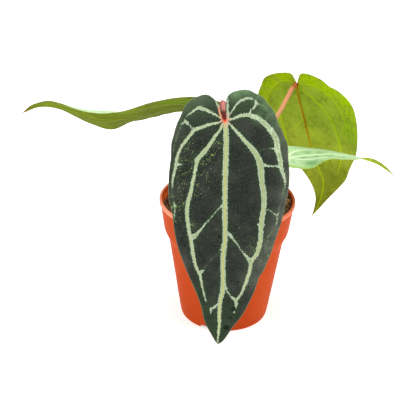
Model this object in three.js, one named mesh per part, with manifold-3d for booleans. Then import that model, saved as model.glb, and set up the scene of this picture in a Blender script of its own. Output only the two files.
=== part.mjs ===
// Potted anthurium hybrid: four heart-shaped leaves on their stalks, a short crown, potting mix and a pot.
// Millimetres, +Z up. The origin is the middle of the pot's base. The large dark leaf hangs over the -Y side,
// the young leaf points to +X, the left leaf to -X, and the back leaf hangs over the corner of +X and +Y.

import * as THREE from 'three';
import { mergeVertices } from 'three/addons/utils/BufferGeometryUtils.js';
import Module from 'manifold-3d';

const wasm = await Module();
wasm.setup();

// Clearance between pieces that touch.
const GAP = 0.3;

// The pot: a tapered body, a step out to a wider band, and a thick lip.
const POT = {
  height: 115,
  rimRadius: 60,
  lipWidth: 2.8,
  lipHeight: 3.2,
  bandTopRadius: 59,
  bandBottom: 86.5,
  bandBottomRadius: 55.5,
  stepBottom: 77.5,
  stepBottomRadius: 51.3,
  stepEase: 0.8,
  footRadius: 40.2,
  footFillet: 3,
  wall: 1.5,
  floor: 1.8,
  floorFillet: 2.2,
  lipEdge: 0.8,
  segments: 48,
};

// Drainage: wide notches in the foot's edge, and round holes in a ring around the solid middle.
const DRAIN = {
  notches: 3,
  notchWidth: 15,
  notchHeight: 2.8,
  notchDepth: 8.7,
  firstNotch: -111,
  holes: 6,
  firstHole: 30,
  holeRadius: 3.2,
  ring: 25,
};

// Potting mix: its surface rises from top at the crown by dish towards the wall, and by rise on the +X side.
// Chips of bark lie on it between the two radii.
const MIX = { top: 104.5, dish: 4.6, rise: 1.2, bumps: 0.8, rings: 9, innerRadius: 12, outerRadius: 49 };

// Chips of bark: half lengths are shares of length, thicknesses are shares of each chip's own half length.
const CHIPS = { count: 38, seed: 7, length: 4.2, smallest: 0.6, widest: 0.75, tilt: 0.25, proud: 0.1 };

// The crown that the stalks rise from, and the papery scales around it.
const CROWN = { bottom: 92, shoulder: 108, top: 117, radius: 8.2, topRadius: 5.2, edge: 2, sides: 20 };
const SCALE = {
  headings: [-135, -45, 95],
  length: 24,
  root: 5.6,
  sunk: 3,
  pitch: [84, 80, 62],
  curl: [-330, -300, -200],
  half: [[0, 0], [-1, 3], [3, 4.6], [10, 5], [17, 3.4], [24, 0]],
};

const STALK = { radius: 2.0, sides: 10, step: 5 };
const BLADE = { halfThickness: 0.4, rib: 0.5, ribWidth: 1.4, spineStep: 1, back: 40 };

// Faces of a blade and of a small scale: rows along the margin, those that fan round the base, and rings.
const LEAF_GRID = { marginSteps: 32, fanSteps: 10, rings: 6 };
const SCALE_GRID = { marginSteps: 12, fanSteps: 3, rings: 3 };

// Half outline of a typical blade as shares of its length: station along the midrib, half width.
const TYPICAL_HALF = [
  [0, 0], [-0.06, 0.02], [-0.1, 0.055], [-0.11, 0.11], [-0.085, 0.17], [-0.01, 0.22],
  [0.12, 0.255], [0.26, 0.265], [0.45, 0.235], [0.62, 0.185], [0.78, 0.115], [0.91, 0.045], [1, 0],
];

// Each leaf. The midrib starts at base and runs length millimetres; heading, pitch and roll are its angles in
// degrees at even steps from base to tip. curl is the turn of the cross-section in degrees for each 50 mm
// sideways. bow shifts the midrib sideways. left and right are the half outlines, as seen looking to the tip
// with the upper face up: station and half width in millimetres. ripple is the wave of the margins.
const LEAVES = {
  front: {
    base: [-4.2, -50, 208],
    length: 191.5,
    heading: [-90, -90, -90],
    pitch: [-68, -79, -84],
    roll: [0, 0, 0],
    curl: [13, 13, 9],
    bow: [0, -2.2, -3, -2, 0],
    ripple: { left: 0.8, right: 0.8, count: 2.6, phase: 0.4 },
    right: [
      [0, 0], [-10, 4.5], [-17, 8], [-20, 14], [-19, 20.5], [-14, 28], [-3, 35.5],
      [17, 43], [42, 46], [65, 46], [89, 42], [112, 36], [140, 23], [167, 12.6], [182, 6], [191.5, 0],
    ],
    left: [
      [0, 0], [-12, 1.4], [-20, 4], [-24.5, 10], [-24.5, 19], [-19, 29], [-9, 38],
      [8, 46], [24, 50.5], [44, 52.5], [66, 50.6], [90, 44.6], [117, 37], [143, 26.5], [168, 15.4],
      [183.5, 7], [191.5, 0],
    ],
    stalk: [
      [-3, -5, 106], [-3.6, -13, 135], [-4.2, -24, 175], [-4.6, -32, 205], [-4.5, -37, 216.5],
      [-4.3, -42, 218], [-4.2, -45.5, 213], [-4.2, -48.6, 205.5],
    ],
    colour: 0x39423c,
  },
  left: {
    base: [-27.4, 24, 191],
    length: 161,
    heading: [186, 180, 174],
    pitch: [5.5, -13.5, -17, 17, 6, -39],
    roll: [-30, -28.5, -29, -34.5, -29, -24.5],
    curl: [-2.5, 0, 4.5, 4],
    bow: [0, 0],
    ripple: { left: 0.3, right: 1.5, count: 4.75, phase: 1.9 },
    widthShare: 0.98,
    stalk: [[-5, 4, 106], [-11, 11, 135], [-19, 18, 163], [-25, 22, 181], [-27.2, 23.7, 190.4]],
    colour: 0x7f9a2a,
  },
  back: {
    base: [57.2, 38, 209.2],
    length: 160,
    heading: [65, 55, 50],
    pitch: [-60, -66, -66, -76, -120],
    roll: [0, 0, 0],
    curl: [12, 12, 12],
    bow: [0, 1, 4.5, 7, 4],
    ripple: { left: 0.8, right: 0.8, count: 2.2, phase: 1.2 },
    right: [
      [0, 0], [-5, 2.6], [-12, 4], [-15, 8], [-15.2, 14.5], [-12, 25], [-6, 32], [-4, 39], [3.5, 48],
      [12, 53], [24, 55.8], [38, 56.8], [53, 55], [68, 50.5], [91, 39], [105, 32.5], [121, 21.5], [136, 11.5],
      [150, 4.2], [160, 0],
    ],
    left: [
      [0, 0], [-5, 1.2], [-10.5, 3], [-12.2, 6.5], [-10.4, 15], [-6.5, 24], [-1, 30.5], [8, 35],
      [22, 41], [42, 45.5], [64, 45], [86, 38], [103, 28], [114, 21], [122, 15], [132, 8], [141, 3.2],
      [151, 1], [160, 0],
    ],
    stalk: [
      [3.6, 5, 106], [12, 11, 131], [27, 18, 160], [40, 24, 183.5], [47.3, 29.5, 195], [52.5, 34.2, 203.8],
      [56.6, 37.5, 208.6],
    ],
    colour: 0x829b2d,
  },
  young: {
    base: [44, 0, 156.6],
    length: 109,
    heading: [2, 6, 12],
    pitch: [-0.5, 1.8, -14.6, -47.7],
    roll: [-0.6, 9.8, 19.7, 20],
    curl: [8, 3, 8],
    bow: [0, 0],
    ripple: { left: 0.2, right: 1.6, count: 2.5, phase: 1.4 },
    widthShare: 0.93,
    stalk: [[5.5, -1, 106], [11, -1.5, 123], [22, -1.5, 140], [34, -1, 150.5], [43, -0.2, 155.8]],
    colour: 0xa6d796,
  },
};

const COLOURS = { pot: 0xcb5a37, mix: 0x2b211b, crown: 0x8a6a45, stalk: 0xd79a74 };

const radians = THREE.MathUtils.degToRad;

// A seeded random number source, from 0 to 1.
function randomSource(seed) {
  let state = seed;
  return () => {
    state = (state + 0x6d2b79f5) | 0;
    let mixed = Math.imul(state ^ (state >>> 15), 1 | state);
    mixed = (mixed + Math.imul(mixed ^ (mixed >>> 7), 61 | mixed)) ^ mixed;
    return ((mixed ^ (mixed >>> 14)) >>> 0) / 4294967296;
  };
}

// Value at share t of a smooth line through evenly spaced values, held at both ends.
function valueAlong(values, t) {
  const last = values.length - 1;
  const place = THREE.MathUtils.clamp(t, 0, 1) * last;
  const index = Math.min(Math.floor(place), last - 1);
  const f = place - index;
  const before = values[Math.max(index - 1, 0)];
  const from = values[index];
  const to = values[index + 1];
  const after = values[Math.min(index + 2, last)];
  const slope = (to - before) * 0.5;
  const endSlope = (after - from) * 0.5;
  const rise = to - from;
  return from + f * (slope + f * (3 * rise - 2 * slope - endSlope + f * (slope + endSlope - 2 * rise)));
}

// A geometry's closed surface as a solid for joins and cuts.
function toSolid(geometry) {
  const bare = geometry.clone();
  bare.deleteAttribute('normal');
  bare.deleteAttribute('uv');
  const merged = mergeVertices(bare, 1e-4);
  return new wasm.Manifold(new wasm.Mesh({
    numProp: 3,
    vertProperties: new Float32Array(merged.attributes.position.array),
    triVerts: new Uint32Array(merged.index.array),
  }));
}

// A solid's surface as a geometry.
function toGeometry(solid) {
  const { vertProperties, triVerts } = solid.getMesh();
  const geometry = new THREE.BufferGeometry();
  geometry.setAttribute('position', new THREE.BufferAttribute(new Float32Array(vertProperties), 3));
  geometry.setIndex(new THREE.BufferAttribute(new Uint32Array(triVerts), 1));
  geometry.computeVertexNormals();
  return geometry;
}

// The largest separate body of a solid.
function largestBody(solid) {
  const bodies = solid.decompose();
  return bodies.reduce((best, body) => (body.volume() > best.volume() ? body : best));
}

// A round tube along a smooth path through points, grown by extra and started early by lead.
function tube(points, extra = 0, lead = 0) {
  const path = points.map((point) => new THREE.Vector3(...point));
  const direction = path[1].clone().sub(path[0]).normalize();
  path[0].addScaledVector(direction, -lead);
  const section = new THREE.Shape();
  const radius = STALK.radius + extra;
  for (let i = 0; i < STALK.sides; i += 1) {
    const angle = (2 * Math.PI * i) / STALK.sides;
    const corner = [radius * Math.cos(angle), radius * Math.sin(angle)];
    if (i === 0) section.moveTo(...corner);
    else section.lineTo(...corner);
  }
  section.closePath();
  const curve = new THREE.CatmullRomCurve3(path, false, 'centripetal');
  const steps = Math.ceil(curve.getLength() / STALK.step);
  return new THREE.ExtrudeGeometry(section, { steps, extrudePath: curve, bevelEnabled: false });
}

// Inner wall of the pot from floor to lip, as radius and height.
function potInside() {
  const { wall, floor, floorFillet, stepEase } = POT;
  return [
    [POT.footRadius - wall - floorFillet, floor],
    [POT.footRadius - wall, floor + floorFillet],
    [POT.stepBottomRadius - wall, POT.stepBottom + stepEase],
    [POT.bandBottomRadius - wall, POT.bandBottom + stepEase],
    [POT.rimRadius - POT.lipWidth, POT.height - POT.lipEdge],
  ];
}

// Outer wall of the pot from foot to lip, with a rounded foot, as radius and height.
function potOutside() {
  const { footRadius, footFillet, height, rimRadius, lipHeight, lipEdge, stepEase } = POT;
  const foot = [];
  for (let i = 0; i <= 4; i += 1) {
    const angle = (Math.PI / 8) * i;
    foot.push([
      footRadius - footFillet + footFillet * Math.sin(angle),
      footFillet - footFillet * Math.cos(angle),
    ]);
  }
  const middle = (POT.stepBottom + POT.bandBottom) / 2;
  const middleRadius = (POT.stepBottomRadius + POT.bandBottomRadius) / 2;
  return [
    ...foot,
    [POT.stepBottomRadius - stepEase / 2, POT.stepBottom - 2 * stepEase],
    [POT.stepBottomRadius + stepEase / 4, POT.stepBottom + stepEase],
    [middleRadius, middle],
    [POT.bandBottomRadius - stepEase / 4, POT.bandBottom - stepEase],
    [POT.bandBottomRadius + stepEase / 4, POT.bandBottom + stepEase],
    [POT.bandTopRadius, height - lipHeight],
    [rimRadius, height - lipHeight + lipEdge / 2],
    [rimRadius, height - lipEdge],
    [rimRadius - lipEdge, height],
    [rimRadius - POT.lipWidth + lipEdge, height],
  ];
}

// The pot's turned wall and floor with its drainage cut out.
function potSolid() {
  const profile = [[0, 0], ...potOutside(), ...potInside().reverse(), [0, POT.floor]];
  const points = profile.map(([r, z]) => new THREE.Vector2(r, z));
  const body = new THREE.LatheGeometry(points, POT.segments);
  body.rotateX(Math.PI / 2);
  let solid = toSolid(body);
  for (let i = 0; i < DRAIN.notches; i += 1) {
    const notch = new THREE.BoxGeometry(POT.footRadius, DRAIN.notchWidth, 2 * DRAIN.notchHeight);
    notch.translate(POT.footRadius * 1.5 - DRAIN.notchDepth, 0, 0);
    notch.rotateZ(radians(DRAIN.firstNotch + (360 / DRAIN.notches) * i));
    solid = solid.subtract(toSolid(notch));
  }
  for (let i = 0; i < DRAIN.holes; i += 1) {
    const hole = new THREE.CylinderGeometry(DRAIN.holeRadius, DRAIN.holeRadius, 4 * POT.floor, 16);
    hole.rotateX(Math.PI / 2);
    hole.translate(DRAIN.ring, 0, 0);
    hole.rotateZ(radians(DRAIN.firstHole + (360 / DRAIN.holes) * i));
    solid = solid.subtract(toSolid(hole));
  }
  return solid;
}

// Height of the potting mix at a place: a shallow dish, a slope, and bumps from a few crossed waves.
function mixHeight(x, y) {
  const { top, dish, rise, bumps, outerRadius } = MIX;
  const waves = Math.sin(0.31 * x + 1.1) * Math.cos(0.27 * y - 0.6)
    + 0.6 * Math.sin(0.62 * x - 0.5 * y) + 0.5 * Math.cos(0.83 * y + 0.41 * x + 2);
  return top + (dish * (x * x + y * y)) / outerRadius ** 2 + (rise * x) / outerRadius + bumps * waves;
}

// The plug of potting mix: it follows the pot's inner wall, with a bumpy top.
function mixPlug() {
  const inside = potInside();
  const wallRows = inside.slice(0, -1).map(([r, z], i) => [r - GAP, i === 0 ? z + GAP : z]);
  const [low, high] = inside.slice(-2);
  const topShare = (MIX.top + MIX.dish - low[1]) / (high[1] - low[1]);
  const topRadius = low[0] + (high[0] - low[0]) * topShare - GAP;
  const rows = wallRows.map(([r, z]) => ({ radius: r, height: () => z }));
  for (let i = 0; i < MIX.rings; i += 1) {
    rows.push({ radius: (topRadius - GAP) * (1 - i / MIX.rings), height: mixHeight });
  }
  const positions = [];
  for (const row of rows) {
    for (let j = 0; j < POT.segments; j += 1) {
      const angle = (2 * Math.PI * j) / POT.segments;
      const x = row.radius * Math.sin(angle);
      const y = -row.radius * Math.cos(angle);
      positions.push(x, y, row.height(x, y));
    }
  }
  const bottomPole = positions.length / 3;
  positions.push(0, 0, inside[0][1] + GAP);
  positions.push(0, 0, mixHeight(0, 0));
  const index = [];
  for (let j = 0; j < POT.segments; j += 1) {
    const next = (j + 1) % POT.segments;
    index.push(bottomPole, next, j);
    for (let i = 0; i < rows.length - 1; i += 1) {
      const a = i * POT.segments;
      const b = a + POT.segments;
      index.push(a + j, a + next, b + next, a + j, b + next, b + j);
    }
    const top = (rows.length - 1) * POT.segments;
    index.push(top + j, top + next, bottomPole + 1);
  }
  const geometry = new THREE.BufferGeometry();
  geometry.setAttribute('position', new THREE.Float32BufferAttribute(positions, 3));
  geometry.setIndex(index);
  return geometry;
}

// The potting mix: the plug joined with its chips of bark, with room for the crown.
function mixSolid(crown) {
  const random = randomSource(CHIPS.seed);
  const between = (low, high) => low + (high - low) * random();
  const pieces = [toSolid(mixPlug())];
  for (let i = 0; i < CHIPS.count; i += 1) {
    const chip = new THREE.IcosahedronGeometry(1, 0);
    const size = CHIPS.length * between(CHIPS.smallest, 1.1);
    chip.scale(size, size * between(CHIPS.widest - 0.3, CHIPS.widest), size * between(0.3, 0.55));
    chip.rotateX(between(-CHIPS.tilt, CHIPS.tilt));
    chip.rotateY(between(-CHIPS.tilt, CHIPS.tilt));
    chip.rotateZ(between(0, 2 * Math.PI));
    const reach = MIX.innerRadius + (MIX.outerRadius - MIX.innerRadius) * Math.sqrt(random());
    const angle = between(0, 2 * Math.PI);
    const x = reach * Math.cos(angle);
    const y = reach * Math.sin(angle);
    chip.translate(x, y, mixHeight(x, y) + CHIPS.proud * size);
    pieces.push(toSolid(chip));
  }
  return wasm.Manifold.union(pieces).subtract(crown);
}

// One leaf blade: its midrib with a frame at every station, its bent cross-section and its outline.
class Blade {
  constructor(leaf, grid = LEAF_GRID) {
    this.leaf = leaf;
    this.grid = grid;
    this.stations = this.traceMidrib();
    const width = leaf.length * (leaf.widthShare ?? 0);
    const typical = TYPICAL_HALF.map(([s, w]) => [s * leaf.length, w * width]);
    this.outlines = { left: leaf.left ?? typical, right: leaf.right ?? typical };
    this.reach = Math.max(...this.outlines.left.map(([, w]) => w), ...this.outlines.right.map(([, w]) => w));
  }

  // Directions at station s: forward along the midrib, side to the right, up out of the upper face.
  frameAt(s) {
    const t = s / this.leaf.length;
    const heading = radians(valueAlong(this.leaf.heading, t));
    const pitch = radians(valueAlong(this.leaf.pitch, t));
    const roll = radians(valueAlong(this.leaf.roll, t));
    const forward = new THREE.Vector3(
      Math.cos(pitch) * Math.cos(heading), Math.cos(pitch) * Math.sin(heading), Math.sin(pitch),
    );
    const side = new THREE.Vector3(Math.sin(heading), -Math.cos(heading), 0).applyAxisAngle(forward, -roll);
    return { forward, side, up: side.clone().cross(forward) };
  }

  // Points of the midrib at even stations, from behind the base to past the tip.
  traceMidrib() {
    const { back, spineStep } = BLADE;
    const walk = (sign, reach) => {
      const point = new THREE.Vector3(...this.leaf.base);
      const found = [];
      for (let s = 0; s < reach; s += spineStep) {
        const { forward } = this.frameAt(sign * (s + spineStep / 2));
        point.addScaledVector(forward, sign * spineStep);
        found.push({ s: sign * (s + spineStep), point: point.clone() });
      }
      return found;
    };
    const start = { s: 0, point: new THREE.Vector3(...this.leaf.base) };
    return [...walk(-1, back).reverse(), start, ...walk(1, this.leaf.length + 4 * spineStep)];
  }

  midribAt(s) {
    const place = (s - this.stations[0].s) / BLADE.spineStep;
    const index = THREE.MathUtils.clamp(Math.floor(place), 0, this.stations.length - 2);
    return this.stations[index].point.clone().lerp(this.stations[index + 1].point, place - index);
  }

  // Point of the middle surface at station s and sideways distance v, positive to the right.
  pointAt(s, v) {
    const { leaf } = this;
    const t = s / leaf.length;
    const { side, up } = this.frameAt(s);
    const turn = radians(valueAlong(leaf.curl, t)) / 50;
    const angle = turn * v;
    const across = Math.abs(turn) < 1e-6 ? v : Math.sin(angle) / turn;
    const drop = Math.abs(turn) < 1e-6 ? 0 : (1 - Math.cos(angle)) / turn;
    const { ripple } = leaf;
    const height = v < 0 ? ripple.left : ripple.right;
    const wave = height * (v / this.reach) ** 2 * Math.sin(2 * Math.PI * ripple.count * t + ripple.phase);
    return this.midribAt(s).addScaledVector(side, across).addScaledVector(up, wave - drop);
  }

  // Outward direction of the upper face.
  normalAt(s, v) {
    const h = BLADE.spineStep / 2;
    const alongS = this.pointAt(s + h, v).sub(this.pointAt(s - h, v));
    const alongV = this.pointAt(s, v + h).sub(this.pointAt(s, v - h));
    return alongV.cross(alongS).normalize();
  }

  // Rows of stations from midrib to margin over one half. Rows fan out of the base over the back lobe.
  halfRows(name) {
    const sign = name === 'left' ? -1 : 1;
    const { length, bow } = this.leaf;
    const { marginSteps, fanSteps, rings } = this.grid;
    const outline = new THREE.SplineCurve(this.outlines[name].map((point) => new THREE.Vector2(...point)));
    const margin = outline.getSpacedPoints(marginSteps);
    return margin.map((point, i) => {
      const share = Math.max(0, (i - fanSteps) / (marginSteps - fanSteps));
      const start = length * share ** 1.1;
      return Array.from({ length: rings + 1 }, (_, k) => {
        const s = start + (point.x - start) * (k / rings);
        return { s, v: valueAlong(bow, s / length) + sign * point.y * (k / rings) };
      });
    });
  }

  // The closed blade: both faces split alike, a low rib under the midrib, and a wall round the margin.
  geometry(extra = 0) {
    const positions = [];
    const { halfThickness, rib, ribWidth } = BLADE;
    const corner = ({ s, v }, face) => {
      const fromRib = (v - valueAlong(this.leaf.bow, s / this.leaf.length)) / ribWidth;
      const onBlade = THREE.MathUtils.smoothstep(s, -2, 4) * (1 - s / this.leaf.length);
      const depth = face > 0 ? halfThickness : halfThickness + rib * onBlade * Math.exp(-fromRib * fromRib);
      return this.pointAt(s, v).addScaledVector(this.normalAt(s, v), face * (depth + extra));
    };
    const addTriangle = (a, b, c) => {
      if (a.distanceTo(b) < 1e-5 || b.distanceTo(c) < 1e-5 || c.distanceTo(a) < 1e-5) return;
      for (const point of [a, b, c]) positions.push(point.x, point.y, point.z);
    };
    for (const name of ['left', 'right']) {
      const rows = this.halfRows(name);
      const flip = name === 'left';
      const faces = [1, -1].map((face) => rows.map((row) => row.map((place) => corner(place, face))));
      faces.forEach((grid, faceIndex) => {
        const outward = flip === (faceIndex === 0);
        for (let i = 0; i < grid.length - 1; i += 1) {
          for (let k = 0; k < this.grid.rings; k += 1) {
            const [a, b, c, d] = [grid[i][k], grid[i][k + 1], grid[i + 1][k + 1], grid[i + 1][k]];
            if (outward) {
              addTriangle(a, c, b);
              addTriangle(a, d, c);
            } else {
              addTriangle(a, b, c);
              addTriangle(a, c, d);
            }
          }
        }
      });
      const [upper, lower] = faces.map((grid) => grid.map((row) => row[this.grid.rings]));
      for (let i = 0; i < upper.length - 1; i += 1) {
        const [a, b, c, d] = [upper[i], upper[i + 1], lower[i + 1], lower[i]];
        if (flip) {
          addTriangle(a, b, c);
          addTriangle(a, c, d);
        } else {
          addTriangle(a, c, b);
          addTriangle(a, d, c);
        }
      }
    }
    const geometry = new THREE.BufferGeometry();
    geometry.setAttribute('position', new THREE.Float32BufferAttribute(positions, 3));
    return mergeVertices(geometry, 1e-4);
  }
}

// The crown: a short stem in the mix with papery scales around it.
function crownSolid(extra = 0) {
  const { bottom, shoulder, top, radius, topRadius, edge, sides } = CROWN;
  const profile = [
    [0, bottom - extra], [radius - edge + extra, bottom - extra], [radius + extra, bottom + edge],
    [radius + extra, shoulder], [topRadius + extra + edge / 2, top - edge],
    [topRadius + extra - edge / 2, top + extra], [0, top + extra],
  ];
  const stem = new THREE.LatheGeometry(profile.map(([r, z]) => new THREE.Vector2(r, z)), sides);
  stem.rotateX(Math.PI / 2);
  return toSolid(stem);
}

// One papery scale that wraps the crown, rooted just under the mix's surface.
function scaleSolid(heading) {
  const turn = radians(heading);
  const blade = new Blade({
    base: [SCALE.root * Math.cos(turn), SCALE.root * Math.sin(turn), MIX.top - SCALE.sunk],
    length: SCALE.length,
    heading: [heading, heading],
    pitch: SCALE.pitch,
    roll: [0, 0],
    curl: SCALE.curl,
    bow: [0, 0],
    ripple: { left: 0, right: 0, count: 1, phase: 0 },
    left: SCALE.half,
    right: SCALE.half,
  }, SCALE_GRID);
  return toSolid(blade.geometry());
}

// A named mesh in its own plain colour.
function piece(name, geometry, colour, roughness) {
  const material = new THREE.MeshStandardMaterial({ color: colour, roughness, metalness: 0 });
  const mesh = new THREE.Mesh(geometry, material);
  mesh.name = name;
  return mesh;
}

const plant = new THREE.Group();

let crown = wasm.Manifold.union([crownSolid(), ...SCALE.headings.map(scaleSolid)]);
for (const [name, leaf] of Object.entries(LEAVES)) {
  const blade = new Blade(leaf);
  const stalk = toSolid(tube(leaf.stalk)).subtract(toSolid(blade.geometry(GAP + 0.1)));
  crown = crown.subtract(toSolid(tube(leaf.stalk, GAP, GAP)));
  plant.add(piece(`stalk_${name}`, toGeometry(largestBody(stalk)), COLOURS.stalk, 0.5));
  plant.add(piece(`blade_${name}`, blade.geometry(), leaf.colour, 0.55));
}
plant.add(piece('crown', toGeometry(largestBody(crown)), COLOURS.crown, 0.7));
plant.add(piece('potting_mix', toGeometry(largestBody(mixSolid(crownSolid(GAP)))), COLOURS.mix, 0.95));
plant.add(piece('pot', toGeometry(potSolid()), COLOURS.pot, 0.45));

export default plant;
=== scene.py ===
"""Potted anthurium hybrid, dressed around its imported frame.

Sizes in this file are millimetres on the real plant unless a name says metres; meshes are written in metres.
The origin is the middle of the pot's base and +Z is up. The large dark leaf hangs over the -Y side, the young
leaf points to +X, the left leaf to -X, and the back leaf hangs over the corner of +X and +Y.
"""

import logging
import math
from dataclasses import dataclass
from enum import Enum

import bmesh
import bpy
import numpy as np
from mathutils import Matrix, Vector


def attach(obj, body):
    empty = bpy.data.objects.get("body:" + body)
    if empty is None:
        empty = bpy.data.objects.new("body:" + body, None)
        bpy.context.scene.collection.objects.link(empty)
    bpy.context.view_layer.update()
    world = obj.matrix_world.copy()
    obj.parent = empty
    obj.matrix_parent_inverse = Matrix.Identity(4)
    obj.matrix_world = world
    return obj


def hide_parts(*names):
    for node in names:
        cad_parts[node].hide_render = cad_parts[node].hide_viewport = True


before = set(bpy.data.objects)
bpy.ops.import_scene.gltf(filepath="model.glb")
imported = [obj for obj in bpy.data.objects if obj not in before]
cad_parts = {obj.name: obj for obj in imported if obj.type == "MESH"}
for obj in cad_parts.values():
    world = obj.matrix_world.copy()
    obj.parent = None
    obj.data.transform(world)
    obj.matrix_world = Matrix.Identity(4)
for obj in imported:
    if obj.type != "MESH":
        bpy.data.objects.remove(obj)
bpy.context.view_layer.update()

LOG = logging.getLogger("potted_anthurium")
MM = 0.001

# Points closer than this are joined into one.
WELD_MM = 0.002
# Millimetres across the whole UV map, and how much of them lies behind a blade's base.
UV_SPAN = 300.0
UV_START = 45.0
# Distances to veins and margins are followed no further than this.
FAR = 9.0
# Most pairs of place and segment to measure at a time.
CHUNK = 2_000_000
# Edges that turn by more than these angles, in degrees, stay sharp.
POT_SHARP = 38.0
MIX_SHARP = 50.0

Array = np.ndarray
Point2 = tuple[float, float]
Point3 = tuple[float, float, float]
Socket = bpy.types.NodeSocket


class Slot(Enum):
    """Names of the material slots."""

    POT = "pot_plastic"
    MIX = "potting_mix"
    CROWN = "crown"
    STALK = "stalk"
    DARK = "leaf_dark"
    OLIVE = "leaf_olive"
    MINT = "leaf_mint"


# Patch readings stored on the blades; some of them are painted light and some painted shadow.
PATCHED = ("tone", "lower_painted_light", "painted_shadow", "speckle", "green", "pale", "verdant")


class Half(Enum):
    """A half of a blade, seen looking to the tip with the upper face up."""

    LEFT = -1
    RIGHT = 1


# Small mathematics


def value_along(values: tuple[float, ...] | Array, t: Array) -> Array:
    """Value of a Catmull-Rom line through evenly spaced values, held at both ends.

    Args:
        values: numbers, or rows of numbers, at even steps from share 0 to share 1.
        t: shares along the line.

    Returns:
        The values at t, with one row for each share where values has rows.
    """
    known = np.asarray(values, float)
    last = len(known) - 1
    place = np.clip(np.asarray(t, float), 0.0, 1.0) * last
    index = np.minimum(place.astype(int), last - 1)
    f = place - index
    if known.ndim > 1:
        f = f[..., None]
    before, start = known[np.maximum(index - 1, 0)], known[index]
    end, after = known[index + 1], known[np.minimum(index + 2, last)]
    slope, end_slope, rise = (end - before) / 2, (after - start) / 2, end - start
    return start + f * (slope + f * (3 * rise - 2 * slope - end_slope + f * (slope + end_slope - 2 * rise)))


def evenly_spaced(points: tuple[tuple[float, ...], ...], count: int, fine: int = 1200) -> Array:
    """Points at even arc lengths on the Catmull-Rom line through the given points.

    Args:
        points: the points that the line passes through.
        count: how many steps to return, so there is one point more.
        fine: steps that the arc length is measured in.

    Returns:
        An array of count + 1 points.
    """
    line = value_along(np.asarray(points, float), np.linspace(0, 1, fine + 1))
    arc = np.concatenate([[0.0], np.cumsum(np.linalg.norm(np.diff(line, axis=0), axis=1))])
    wanted = np.linspace(0, arc[-1], count + 1)
    return np.stack([np.interp(wanted, arc, line[:, k]) for k in range(line.shape[1])], -1)


def smooth_step(value: Array, low: float, high: float) -> Array:
    """Smooth change from 0 at low to 1 at high, which may be lower: 3t^2 - 2t^3 of the share t between."""
    t = np.clip((value - low) / (high - low), 0.0, 1.0)
    return t * t * (3 - 2 * t)


def unit(vectors: Array) -> Array:
    """Each vector divided by its length."""
    return vectors / np.maximum(np.linalg.norm(vectors, axis=-1, keepdims=True), 1e-12)


def lattice_noise(points: Array, cell: float, seed: int) -> Array:
    """Smooth noise from -1 to 1: random numbers on a cubic lattice, blended with a smooth step in each cell.

    Args:
        points: places, one row each, of two or three numbers.
        cell: width of a lattice cell, in the points' unit.
        seed: chooses the random numbers.

    Returns:
        One number for each point.
    """
    size = 32
    table = np.random.default_rng(seed).uniform(-1, 1, (size, size, size))
    flat = np.zeros((len(points), 3))
    flat[:, : points.shape[1]] = points
    place = flat / cell + 0.37 * seed
    low = np.floor(place).astype(int)
    f = place - low
    f = f * f * (3 - 2 * f)
    total = np.zeros(len(points))
    for corner in np.ndindex(2, 2, 2):
        weight = np.prod(np.where(corner, f, 1 - f), axis=1)
        i, j, k = ((low + corner) % size).T
        total += weight * table[i, j, k]
    return total


def grid_faces(rows: int, columns: int, closed: bool = False, first: int = 0) -> Array:
    """Quads of a grid of points numbered row by row.

    Args:
        rows: rows of points.
        columns: points in a row.
        closed: whether the last column joins the first.
        first: number of the grid's first point.

    Returns:
        An array of quads, four point numbers each.
    """
    across = columns if closed else columns - 1
    i, j = np.meshgrid(np.arange(rows - 1), np.arange(across), indexing="ij")
    a = i * columns + j
    b = i * columns + (j + 1) % columns
    return np.stack([a, b, b + columns, a + columns], -1).reshape(-1, 4) + first


# Meshes


@dataclass
class Skin:
    """Points and faces in millimetres, with what the finishes read from them."""

    points: Array
    faces: Array | None
    uv: Array | None = None
    values: dict[str, Array] | None = None
    material_index: Array | None = None


def join_skins(skins: list[Skin]) -> Skin:
    """Several skins as one, with the faces renumbered."""
    offsets = np.cumsum([0] + [len(s.points) for s in skins[:-1]])
    names = skins[0].values or {}
    return Skin(
        np.concatenate([s.points for s in skins]),
        np.concatenate([s.faces + o for s, o in zip(skins, offsets)]),
        None if skins[0].uv is None else np.concatenate([s.uv for s in skins]),
        {n: np.concatenate([s.values[n] for s in skins]) for n in names},
        None if skins[0].material_index is None else np.concatenate([s.material_index for s in skins]),
    )


def shown(name: str, data: bpy.types.ID) -> bpy.types.Object:
    """A new object with this data, linked into the scene."""
    made = bpy.data.objects.new(name, data)
    bpy.context.scene.collection.objects.link(made)
    return made


def piece_from(
    name: str, skin: Skin, materials: list[bpy.types.Material], sharp: float = 180.0
) -> bpy.types.Object:
    """Writes a skin into an object at the origin, welds its seams and poles, and turns its faces outwards.

    Args:
        name: the piece's name.
        skin: the surface in millimetres.
        materials: its materials, in the order that skin.material_index counts.
        sharp: edges that turn by more than this many degrees stay sharp.

    Returns:
        The new object.
    """
    mesh = bpy.data.meshes.new(name)
    mesh.from_pydata((skin.points * MM).tolist(), [], skin.faces.tolist())
    if skin.uv is not None:
        corner_points = np.zeros(len(mesh.loops), np.int32)
        mesh.loops.foreach_get("vertex_index", corner_points)
        layer = mesh.uv_layers.new(name="surface")
        layer.data.foreach_set("uv", skin.uv[corner_points].astype(np.float32).ravel())
    for label, numbers in (skin.values or {}).items():
        attribute = mesh.attributes.new(label, "FLOAT", "POINT")
        attribute.data.foreach_set("value", numbers.astype(np.float32))
    for material in materials:
        mesh.materials.append(material)
    if skin.material_index is not None:
        mesh.polygons.foreach_set("material_index", skin.material_index.astype(np.int32))
    weld(mesh, WELD_MM * MM)
    mesh.shade_smooth()
    if sharp < 180.0:
        mesh.set_sharp_from_angle(angle=math.radians(sharp))
    turn_outwards(mesh)
    return shown(name, mesh)


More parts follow.
